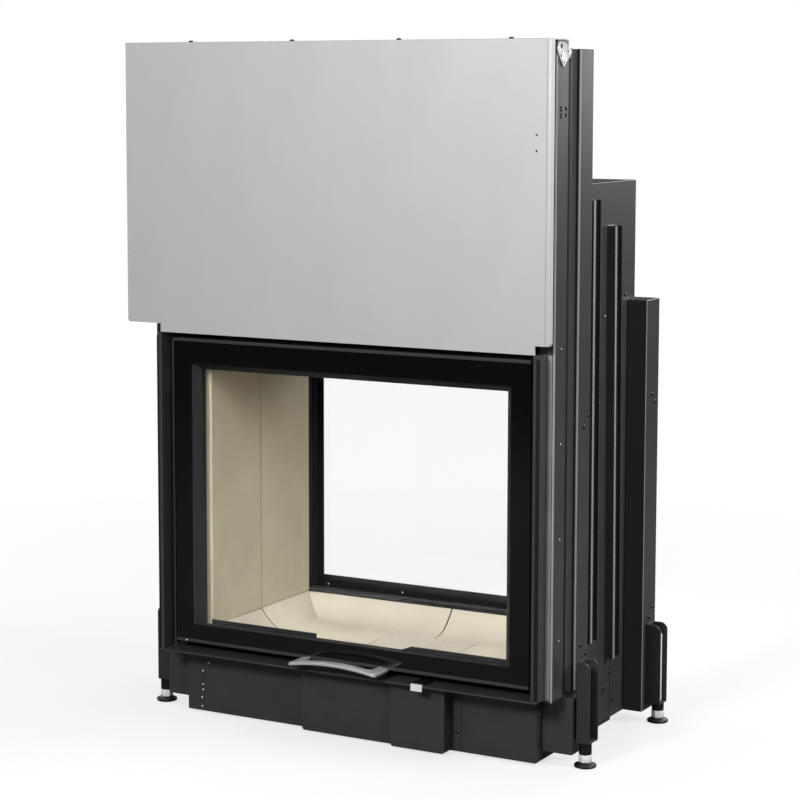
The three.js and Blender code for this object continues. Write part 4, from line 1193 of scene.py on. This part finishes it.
@dataclass
class Lift:
    """Columns, pulleys, cables and counterweights."""

    cable_radius: float = 1.45
    cable_lay: float = 14.0
    plate: float = 1.6
    fold: float = 3.4
    face: float = 358.0
    column_front: float = -185.15
    channel_front: float = -99.85
    small_hole: float = 1.9
    large_hole: float = 3.3
    hole_band: Pair = (995.0, 1020.0)

    def build(self) -> None:
        """Builds both sides."""
        for name, side in SIDES:
            self._column(name, side)
            self._channel(name, side)
            softened("pulley_axle_" + name, ZINC, Rounding(0.2))
            softened("pulley_" + name, STEEL)
            softened("counterweight_" + name, STEEL, Rounding(1.0))
            self._cables(name)
            self._bearing_plate(name, side)
        # Light strips on the front folds of columns and channels: painted highlights.
        fold_highlight("column_fold_highlight", self.face, self.column_front, self.fold, (108.5, 1112))
        fold_highlight("channel_fold_highlight", self.face, self.channel_front, self.fold, (108.5, 1102))

    def _channel(self, name: str, side: int) -> None:
        """Weight channel, whose outer front fold has a wide radius, and the torn zinc strip at its foot.

        Args:
            name: the side's name.
            side: -1 for the left side, 1 for the right one.
        """
        node = "weight_channel_" + name
        _, at_fold = outer_fold(node, side)
        softened(node, ANTHRACITE, Rounding(self.fold, 4, at_fold), Rounding(0.9, 3))
        outline = [(-143, 105.4), (-131, 103.2), (-118, 104.6), (-117, 107.4), (-129, 107.8), (-142, 107.2)]
        strip = made(add_plate, outline, Axis.X, side * 350.6, side * 352.2)
        piece("zinc_strip_" + name, strip, ZINC, sharp=20)
        # Black strip on the web behind the column's rear edge: painted shadow.
        x0, x1 = beside(side, 352.02, 352.3)
        shadow_line = made(add_block, (x0, -133, 109), (x1, -124.5, box_mm(node)[1].z))
        piece("column_shadow_line_" + name, shadow_line, BLACK)

    def _column(self, name: str, side: int) -> None:
        """Guide column, with the row of holes near its top.

        Args:
            name: the side's name.
            side: -1 for the left side, 1 for the right one.
        """
        node = "guide_column_" + name
        front = box_mm(node)[0].y
        face, at_fold = outer_fold(node, side)
        bottom, top = self.hole_band
        holes = [(y, z, self.small_hole) for y in (12.5, 16.5) for z in (1000.5, 1004.7, 1010.7, 1015.3)]
        holes += [(32.2, z, self.large_hole) for z in (1003.6, 1012.9)]

        def off_hole(a: Vector, b: Vector) -> bool:
            """Whether an edge lies clear of the row of holes."""
            return not all(bottom < p.z < top and front + 8 < p.y < front + 40 for p in (a, b))

        shape = bored(sheet_copy(node), [Bore((face, front + y, z), Axis.X, r, 7) for y, z, r in holes])
        round_edges(shape, Rounding(self.fold, 4, at_fold))
        round_edges(shape, Rounding(0.9, 3, off_hole))
        piece(node + "_sheet", shape, ANTHRACITE, "insert", [node], even=True)

    def _cables(self, name: str) -> None:
        """The arc over the pulley and the two straight runs down to the door and to the weight.

        Args:
            name: the side's name.
        """
        values = {"Radius": self.cable_radius * MM, "Lay": self.cable_lay * MM, "Spacing": 2 * MM}
        node = "cable_over_pulley_" + name
        low, high = box_mm(node)
        x, outer = (low.x + high.x) / 2, (high.y - low.y) / 2
        bend = arc((low.y + high.y) / 2, high.z - outer, outer - self.cable_radius, 180, 0, 36)
        path = path_object([(x, y, z) for y, z in bend])
        grown(f"cable_arc_{name}", path, cable_tree(), values, STEEL, "insert", [node])
        values["Spacing"] = 4 * MM
        for run, body in (("cable_to_door_" + name, "lift_door"), ("cable_to_weight_" + name, "weight_" + name)):
            low, high = box_mm(run)
            line = (low.y + high.y) / 2
            ends = ((x, line, high.z), (x, line, low.z))
            grown(run + "_rope", path_object(ends), cable_tree(), values, STEEL, body, [run], ("insert", *ends))

    def _bearing_plate(self, name: str, side: int) -> None:
        """Zinc plate on the outside of the column that takes the pulley's pin.

        Args:
            name: the side's name.
            side: -1 for the left side, 1 for the right one.
        """
        face = side * (self.face + 0.05)
        outline = [(-184.6, 1112.4), (-164.3, 1112.8), (-153, 1108.9), (-137, 1098.9), (-142.7, 1089.5)]
        outline += [(-150.7, 1086.6), (-163.2, 1076.3), (-166.1, 1075.8), (-177.8, 1087.2), (-186.8, 1097.2)]
        outline += [(-189, 1102.7)]
        holes = [(-173.8, 1106, 4), (-174.5, 1091.5, 2.2), (-164.5, 1082, 1.8), (-150, 1098.5, 1.8)]
        blank = made(add_plate, outline, Axis.X, face, face + side * self.plate)
        shape = bored(blank, [Bore((face, y, z), Axis.X, r) for y, z, r in holes])
        round_edges(shape, Rounding(0.35))
        piece("bearing_plate_" + name, shape, DIPPED, even=True)


@dataclass
class LiftDoor:
    """The door that slides up."""

    print_side: float = 33.5
    print_bottom: float = 31.5
    print_top: float = 41.0
    window: Rect = (-280.0, 280.0, 155.0, 585.0)
    slope: float = 11.0
    skin: float = 0.5
    handle_arm: float = 16.5
    handle_bar: float = 17.0
    handle_corner: float = 5.0
    handle_fillet: float = 10.0
    handle_thickness: float = 4.6

    def build(self) -> None:
        """Builds every piece of the door."""
        low, high = box_mm("lift_door_frame")
        self._frame(low, high)
        window = (
            low.x + self.print_side,
            high.x - self.print_side,
            low.z + self.print_bottom,
            high.z - self.print_top,
        )
        printed_pane("lift_door_pane", "lift_door_glass", "lift_door", window)
        rope_seal("lift_door_seal_rope", *box_mm("lift_door_seal"), "lift_door", ["lift_door_seal"])
        self._handle()
        for name, _ in SIDES:
            softened("door_hanger_" + name, STEEL, Rounding(0.8))

    def _frame(self, low: Vector, high: Vector) -> None:
        """Frame whose window has sloped walls behind the pane, with thin black sheet on them.

        Args:
            low: the frame's lowest corner.
            high: its highest corner.
        """
        back = box_mm("lift_door_glass")[1].y

        def at_window(a: Vector, b: Vector) -> bool:
            """Whether an edge is the window's rim behind the pane."""
            behind = near(a.y, b.y) and back - 0.6 < a.y < back + 3
            return behind and all(low.x + 35 < p.x < high.x - 35 and low.z + 20 < p.z < high.z - 40 for p in (a, b))

        softened("lift_door_frame", ANTHRACITE, Rounding(self.slope, 1, at_window), Rounding(0.8))
        skin, start, bend = self.skin, back + 0.1, back + self.slope
        loops = [(self.slope - skin, start), (-skin, bend), (-skin, high.y)]
        loops += [(skin, high.y - skin), (skin, bend), (self.slope + skin, start + skin)]
        liner = made(add_ring, [(wider(self.window, by), y) for by, y in loops])
        piece("lift_door_window_liner", liner, BLACK, "lift_door", sharp=20)

    def _handle(self) -> None:
        """Bow handle: one strip that runs out, across and back, higher in the middle."""
        node = "lift_door_handle"
        low, high = box_mm(node)
        half, arm, bar = high.x, self.handle_arm, self.handle_bar
        corner, fillet = self.handle_corner, self.handle_fillet
        steps = 10

        def edge(x: float, y: float, radius: float) -> list[Pair]:
            """The left half of one edge, from the arm's foot round its turn to the middle."""
            down = [(x - radius, high.y + (y - high.y) * i / steps) for i in range(steps)]
            across = [(x * (1 - i / steps / 2), y - radius) for i in range(2 * steps + 1)]
            return down + arc(x, y, radius, 180, 261, steps - 1) + across

        outer = edge(corner - half, low.y + corner, corner)
        inner = edge(arm + fillet - half, low.y + bar + fillet, fillet)
        pairs = list(zip(outer, inner))
        pairs += [((-a[0], a[1]), (-b[0], b[1])) for a, b in reversed(pairs[:-1])]
        shape = bmesh.new()
        rise = high.z - low.z - self.handle_thickness
        rings = []
        for front, back in pairs:
            spots = [
                (x, y, low.z + rise * (1 - (x / half) ** 2) + lift * self.handle_thickness)
                for (x, y), lift in ((front, 0), (back, 0), (back, 1), (front, 1))
            ]
            rings.append([shape.verts.new(Vector(spot) * MM) for spot in spots])
        for ring, after in zip(rings, rings[1:]):
            for k in range(4):
                j = (k + 1) % 4
                shape.faces.new([ring[k], ring[j], after[j], after[k]])
        shape.faces.new(rings[0])
        shape.faces.new(rings[-1][::-1])
        bmesh.ops.recalc_face_normals(shape, faces=shape.faces)
        round_edges(shape, Rounding(1.1, 3), 60)
        piece(node + "_bow", shape, BRUSHED, "lift_door", [node], 50)


@dataclass
class Firebox:
    """Shell, front frame, lining, baffle, guards and flue collar."""

    tile_edge: float = 2.0
    front_chamfer: float = 8.0
    bowl: float = 109.0
    rim: float = 148.0
    dish: float = 1.5
    slope: float = 2.25
    joint_depth: float = 0.35
    weld_radius: float = 93.6
    shell_face: float = 340.9
    rail_face: float = 356.02

    def build(self) -> None:
        """Builds every piece of the firebox."""
        softened("firebox_shell", ANTHRACITE, Rounding(0.9, 3))
        softened("firebox_front_frame", BLACK, Rounding(1.0))
        for name, side in SIDES:
            for end in ("front", "rear"):
                self._wall_tile(f"wall_tile_{end}_{name}", end, side)
                tile = softened(f"hearth_tile_{end}_{name}", HEARTH_CLAY, Rounding(1.2), curved=True)
                for vert in tile.data.vertices:
                    vert.co.z = self._dished(vert.co.z / MM) * MM
        softened("hearth_plate", HEARTH_CLAY, Rounding(2.0))
        self._hearth_joints()
        softened("baffle_plate", VERMICULITE, Rounding(1.5))
        softened("log_guard_front", BLACK, Rounding(0.5))
        softened("flue_collar", ANTHRACITE, Rounding(0.6))
        self._flue_weld()
        self._side_marks()

    def _side_marks(self) -> None:
        """On both sides of the shell: the slot's cover between the rails, the seam, and painted highlights on the
        rails' lips.
        """
        for name, side in SIDES:
            x0, x1 = beside(side, self.shell_face, self.shell_face + 0.7)
            piece("slot_cover_" + name, made(rounded_block, (x0, 36, 648), (x1, 43, 690), 0.3), ANTHRACITE, even=True)
            x0, x1 = beside(side, self.shell_face, self.shell_face + 0.3)
            piece("shell_seam_" + name, made(add_block, (x0, 76.2, 24.7), (x1, 77.4, 119)), BLACK)
            # Light strips on the rails' lips: painted highlights.
            lips = bmesh.new()
            for y, low, high, lean in ((-40.55, 169, 870, 4), (43.45, 125, 826, 10)):
                corners = [(y + lean, low), (y + 5.9 + lean, low), (y + 5.9, high), (y, high)]
                add_plate(lips, corners, Axis.X, side * self.rail_face, side * (self.rail_face + 0.1))
            piece("rail_lip_highlights_" + name, lips, HIGHLIGHT_PAINT)

    def _dished(self, z: float) -> float:
        """Height of the hearth's flank, which the solid has straighter than the real bowl."""
        share = (z - self.bowl) / (self.rim - self.bowl)
        return self.bowl + (self.rim - self.bowl) * share**self.dish if 0 < share < 1 else z

    def _hearth_joints(self) -> None:
        """Dark cement in the joints between the four hearth tiles."""
        rise, foot = self.rim - self.bowl, self.bowl - 20
        climb = [(1 - i / 6, self.bowl - self.joint_depth + rise * (i / 6) ** self.slope) for i in range(7)]

        def profile(low: float, low_flank: float, high: float, high_flank: float) -> list[Pair]:
            """Section of the bowl from one flank's foot to the other."""
            line = [(low + low_flank * t, z) for t, z in reversed(climb)]
            line += [(high - high_flank * t, z) for t, z in climb]
            return [(low, foot), *line, (high, foot)]

        lengthwise = made(add_plate, profile(-140.8, 42, 156.5, 62), Axis.X, 8.8, 11.2)
        piece("hearth_joint_lengthwise", lengthwise, CEMENT, sharp=20)
        across = made(add_plate, profile(-278, 62, 278, 62), Axis.Y, -5.0, -2.6)
        piece("hearth_joint_across", across, CEMENT, sharp=20)

    def _wall_tile(self, node: str, end: str, side: int) -> None:
        """Fireclay slab; the front pair has a wide chamfer towards the door.

        Args:
            node: the CAD node.
            end: front or rear.
            side: -1 for the left side, 1 for the right one.
        """
        low, high = box_mm(node)
        inner = side * min(abs(low.x), abs(high.x))

        def at_door(a: Vector, b: Vector) -> bool:
            """Whether an edge is the front tile's corner towards the door."""
            upright = near(a.x, b.x) and near(a.y, b.y)
            return end == "front" and upright and near(inner, a.x) and near(low.y, a.y)

        softened(node, FIRECLAY, Rounding(self.front_chamfer, 1, at_door), Rounding(self.tile_edge))

    def _flue_weld(self) -> None:
        """Weld bead between the collar's flange and the pipe."""
        low, high = box_mm("flue_collar")
        ring = arc((low.x + high.x) / 2, (low.y + high.y) / 2, self.weld_radius, 0, 356, 89)
        values = {
            "Spacing": 2.4 * MM,
            "Bead length": 2.0 * MM,
            "Bead width": 2.4 * MM,
            "Bead height": 1.2 * MM,
            "Skew": 0.0,
            "Facing": (0.0, 0.0, 1.0),
        }
        path = path_object([(x, y, low.z + 3.4) for x, y in ring], True)
        grown("flue_collar_weld", path, bead_tree(), values, ANTHRACITE)


@dataclass
class Rear:
    """Rear frame and the hinged rear door."""

    glass_lap: float = 12.0
    print_side: float = 14.0
    print_bottom: float = 22.0
    print_top: float = 15.0
    seal_width: float = 9.0
    seal_gap: float = 3.5
    sheet_flange: float = 18.0
    pin: Pair = (-329.5, 194.85)
    pin_clearance: float = 5.5
    boss: float = 11.6
    boss_height: float = 13.2
    lever_tip: float = 6.6
    lever_reach: float = 128.0

    def build(self) -> None:
        """Builds every piece of the rear."""
        softened("rear_frame", ANTHRACITE, Rounding(1.4, 3))
        low, high = box_mm("rear_door_glass")
        opening = wider((low.x, high.x, low.z, high.z), -self.glass_lap)
        self._heat_sheet(opening)
        softened("rear_sill_plate", THICK_BLACK, Rounding(0.4))
        softened("rear_door_frame", BLACK, Rounding(0.8, 2, self._off_pin))
        x0, x1, z0, z1 = opening
        window = (x0 + self.print_side, x1 - self.print_side, z0 + self.print_bottom, z1 - self.print_top)
        printed_pane("rear_door_pane", "rear_door_glass", "rear_door", window)
        for name in ("lower", "upper"):
            softened("rear_hinge_" + name, BLACK, Rounding(0.6, 2, self._off_pin))
        self._handle()
        self._seal(opening)
        # Light strip on the rear frame's front fold: painted highlight.
        fold_highlight("rear_frame_fold_highlight", 376, 128.85, 1.4, (22, 702))

    def _off_pin(self, a: Vector, b: Vector) -> bool:
        """Whether an edge lies clear of the hinge pins, whose running gap stays as it is."""
        x, y = self.pin
        return all(math.hypot(p.x - x, p.y - y) > self.pin_clearance for p in (a, b))

    def _heat_sheet(self, opening: Rect) -> None:
        """Thin black sheet that lines the rear opening.

        Args:
            opening: low and high X, low and high Z of the opening.
        """
        skin, flange = 0.25, self.sheet_flange
        rear, front = box_mm("rear_frame")[1].y - skin, box_mm("wall_tile_rear_left")[1].y + skin
        loops = [(flange, front - skin / 2), (-skin, front - skin / 2), (-skin, rear), (0, rear), (0, front)]
        sheet = made(add_ring, [(wider(opening, by), y) for by, y in [*loops, (flange, front)]])
        piece("rear_opening_heat_sheet", sheet, BLACK, sharp=20)

    def _handle(self) -> None:
        """Flat lever handle that hangs down from its boss."""
        node = "rear_door_handle"
        low, high = box_mm(node)
        x, z, face = (low.x + high.x) / 2, high.z - 12, low.y
        r, h = self.boss, self.boss_height
        profile = [(0, 0), (r - 0.6, 0), (r, 0.6), (r, 3), (r - 3.1, 5), (r - 3.6, h), (0, h)]
        boss = made(add_turned, profile, (x, face, z), Axis.Y, 40)
        piece(node + "_boss", boss, BRUSHED, "rear_handle", [node], 30)
        outline = arc(x, z, r, 0, 180, 12) + arc(x, z - self.lever_reach, self.lever_tip, 180, 360, 12)
        grip = made(add_plate, outline, Axis.Y, face + h + 0.3, high.y - 0.3)
        round_edges(grip, Rounding(3.4, 4), 45)
        piece(node + "_lever", grip, BRUSHED, "rear_handle", even=True)

    def _seal(self, opening: Rect) -> None:
        """Rope between the rear frame and the rear door.

        Args:
            opening: low and high X, low and high Z of the opening.
        """
        front, rear = box_mm("rear_frame")[1].y, box_mm("rear_door_frame")[0].y
        x0, x1, z0, z1 = wider(opening, self.seal_gap + self.seal_width)
        low, high = Vector((x0, front + 0.2, z0)), Vector((x1, rear - 0.05, z1))
        rope_seal("rear_door_seal_rope", low, high, "rear_door", width=self.seal_width)


@dataclass
class AirControl:
    """Lever and plate of the air control."""

    tab: Pair = (130.9, 151.1)
    bright: float = 4.0
    covered: float = 42.5
    thickness: float = 2.08

    def build(self) -> None:
        """Builds the lever, and the black paint on its top behind the bright tab."""
        softened("air_lever", ZINC, Rounding(0.4))
        low, high = box_mm("air_lever")
        start = (self.tab[0], low.y + self.bright, high.z - self.thickness)
        paint = made(add_block, start, (self.tab[1], low.y + self.covered, high.z + 0.12))
        piece("air_lever_paint", paint, BLACK, "air_control")


@dataclass
class Fasteners:
    """Every screw, bolt and rivet that is fixed to a sheet."""

    beam_top: float = 1117.1
    plinth_dots: tuple[Pair, ...] = ((-293.6, 71.4), (-293.6, 48.2), (-293.6, 39.2), (-295.6, 25.6), (-295.2, 10.4))

    def build(self) -> None:
        """Builds one mesh for each row."""
        for row in (*self._front_rows(), *self._side_rows()):
            row.build()

    def _front_rows(self) -> list[ScrewRow]:
        """Rows on the top, the front and the rear door.

        Returns:
            The rows.
        """
        up, ahead = (0, 0, 1), (0, -1, 0)
        beam = [(x, -196.0, self.beam_top) for x in (-287.4, -95.8, 95.8, 287.4)]
        dots = [(x, -165.9, z) for x, z in self.plinth_dots] + [(-282.9, -165.1, 85.8)]
        clips = [(-263.5, 199.1, 153.7), (-111.2, 199.1, 154.7)]
        return [
            ScrewRow("beam_screws", Head.BEAM, BLACK, up, beam),
            ScrewRow("plinth_dots", Head.DOT, ZINC, ahead, dots),
            ScrewRow("joint_strip_screw", Head.PAN, BLACKENED, ahead, [(188.2, -166.5, 35.3)]),
            ScrewRow("door_trim_screws", Head.DOT, ZINC, ahead, [(-305.1, -197.15, 130.0)], "lift_door"),
            ScrewRow("pane_clip_screws", Head.DOT, ZINC, ahead, clips, "rear_door"),
        ]

    def _side_rows(self) -> list[ScrewRow]:
        """Rows on both sides: the name, kind, finish, face in X, and the places in Y and Z.

        Returns:
            The rows, first those of the left side.
        """
        dot, pan = (Head.DOT, ZINC), (Head.PAN, BLACKENED)
        rows = (
            ("column_screws", dot, 358.0, ((-160.4, 652.2), (-160.4, 506), (-160.4, 359), (-160.4, 201))),
            ("channel_screws", pan, 358.0, ((-60, 538), (-75, 522), (-78.5, 176.2), (-60.9, 159.6))),
            ("rear_frame_screws", pan, 376.0, ((152.9, 547), (166.3, 533.8), (168.5, 191), (152.9, 176.1))),
            ("shell_screws", pan, 341.0, ((74.7, 96.1), (49.7, 75.4), (87.3, 49.8), (120.0, 712.2))),
            ("shell_cover_screw", dot, 341.7, ((39.5, 684.0),)),
            ("plinth_bolts", pan, 323.0, ((-155.5, 76.8), (-155.5, 32.5))),
        )
        return [
            ScrewRow(f"{label}_{name}", *kind, (side, 0, 0), [(side * face, y, z) for y, z in spots])
            for name, side in SIDES
            for label, kind, face, spots in rows
        ]


# Camera, lamps and ground


def seen_directly(tree: Tree) -> Any:
    """Value of 1 for what the camera sees, also through glass, and of 0 for light on its way by a surface.

    Args:
        tree: the shader tree.

    Returns:
        The last node.
    """
    path = add_node(tree, "ShaderNodeLightPath").outputs
    first = calc(tree, "MAXIMUM", path["Is Camera Ray"], path["Is Transmission Ray"])
    bounces = calc(tree, "ADD", path["Diffuse Depth"], path["Glossy Depth"])
    return calc(tree, "MULTIPLY", first, calc(tree, "LESS_THAN", bounces, 0.5))


@dataclass
class Studio:
    """White studio with the camera of the picture."""

    place: Point = (1797.5354, -3293.5184, 1047.0697)
    turn: float = 0.5187
    pitch: float = 0.1124
    lens: float = 102.859
    shift: Pair = (0.0485, -0.07)
    ambient: float = 0.17
    floor_reach: float = 9000.0
    floor_level: float = -0.6
    shadow_fade_m: Pair = (0.8, 2.2)
    glow: Pair = (0.7, 1.0)

    def build(self) -> None:
        """Builds the camera, the world, the lamps and the floor."""
        self._camera()
        self._world()
        self._lamp("key_box", (-100, -3000, 1800), (0, 0, 450), 600, 66)
        self._lamp("side_box", (2400, 100, 1650), (340, -50, 650), 900, 44)
        self._lamp("edge_box", (2300, -1300, 1500), (350, -100, 700), 500, 12)
        self._lamp("rear_box", (600, 2600, 1500), (-200, 0, 400), 1200, 30)
        self._lamp("left_box", (-2500, 150, 1300), (-340, 0, 600), 900, 24)
        self._floor()
        bpy.context.scene.view_settings.view_transform = "Standard"

    def _camera(self) -> None:
        """Camera at the height of the object, looking slightly down."""
        data = bpy.data.cameras.new("camera")
        data.lens, data.sensor_width = self.lens, 36
        data.shift_x, data.shift_y = self.shift
        data.clip_start, data.clip_end = 0.05, 60
        camera = placed("camera", data)
        camera.location = Vector(self.place) * MM
        camera.rotation_euler = (math.pi / 2 - self.pitch, 0, self.turn)
        bpy.context.scene.camera = camera

    def _world(self) -> None:
        """Plain grey light that the camera, metal and glass see as white."""
        world = bpy.data.worlds.new("studio")
        bpy.context.scene.world = world
        world.use_nodes = True
        tree = world.node_tree
        tree.nodes.clear()
        values = {"Value": seen_directly(tree), "To Min": self.ambient, "To Max": 1.0}
        strength = add_node(tree, "ShaderNodeMapRange", values)
        light = add_node(tree, "ShaderNodeBackground", {"Color": (1, 1, 1, 1), "Strength": strength})
        add_node(tree, "ShaderNodeOutputWorld", {"Surface": light})

    def _lamp(self, name: str, place: Point, aim: Point, size: float, watts: float) -> None:
        """Square area lamp turned to a point.

        Args:
            name: the lamp's name.
            place: its place.
            aim: the point that it is turned to.
            size: its edge in millimetres.
            watts: its power.
        """
        data = bpy.data.lights.new(name, "AREA")
        data.shape = "SQUARE"
        data.size = size * MM
        data.energy = watts
        lamp = placed(name, data)
        lamp.location = Vector(place) * MM
        lamp.rotation_euler = (Vector(aim) - Vector(place)).to_track_quat("-Z", "Y").to_euler()
        lamp.visible_camera = False

    def _floor(self) -> None:
        """Wide white floor that keeps the object's shadow."""
        shape = bmesh.new()
        r, z = self.floor_reach, self.floor_level
        corners = [(-r, -r, z), (r, -r, z), (r, r, z), (-r, r, z)]
        shape.faces.new([shape.verts.new(Vector(corner) * MM) for corner in corners])
        floor = mesh_object("studio_floor", shape)
        paper, tree = new_material("paper_roll_white")
        direct = seen_directly(tree)
        colours = {"Factor": direct, 6: srgb("#6e6e6e"), 7: srgb("#f2f2f2")}
        albedo = add_node(tree, "ShaderNodeMix", colours, data_type="RGBA").outputs[2]
        matt = add_node(tree, "ShaderNodeBsdfDiffuse", {"Color": albedo})
        glow = add_node(tree, "ShaderNodeEmission", {"Color": (1, 1, 1, 1), "Strength": 1.0})
        place = add_node(tree, "ShaderNodeTexCoord").outputs["Object"]
        away = add_node(tree, "ShaderNodeVectorMath", {0: place}, operation="LENGTH").outputs["Value"]
        labels = ("From Min", "From Max", "To Min", "To Max")
        fade = {"Value": away, **dict(zip(labels, self.shadow_fade_m + self.glow))}
        share = calc(tree, "MULTIPLY", direct, add_node(tree, "ShaderNodeMapRange", fade))
        mixed = add_node(tree, "ShaderNodeMixShader", {0: share, 1: matt, 2: glow})
        add_node(tree, "ShaderNodeOutputMaterial", {"Surface": mixed})
        floor.data.materials.append(paper)


def main() -> None:
    """Builds the sub-assemblies in order, then the studio."""
    logging.basicConfig(level=logging.INFO, format="%(name)s: %(message)s")
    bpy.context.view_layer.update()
    for part in (Base(), Feet(), Front(), Lift(), LiftDoor(), Firebox(), Rear(), AirControl(), Fasteners()):
        log.info("building %s", type(part).__name__)
        part.build()
    Studio().build()


if __name__ == "__main__":
    main()
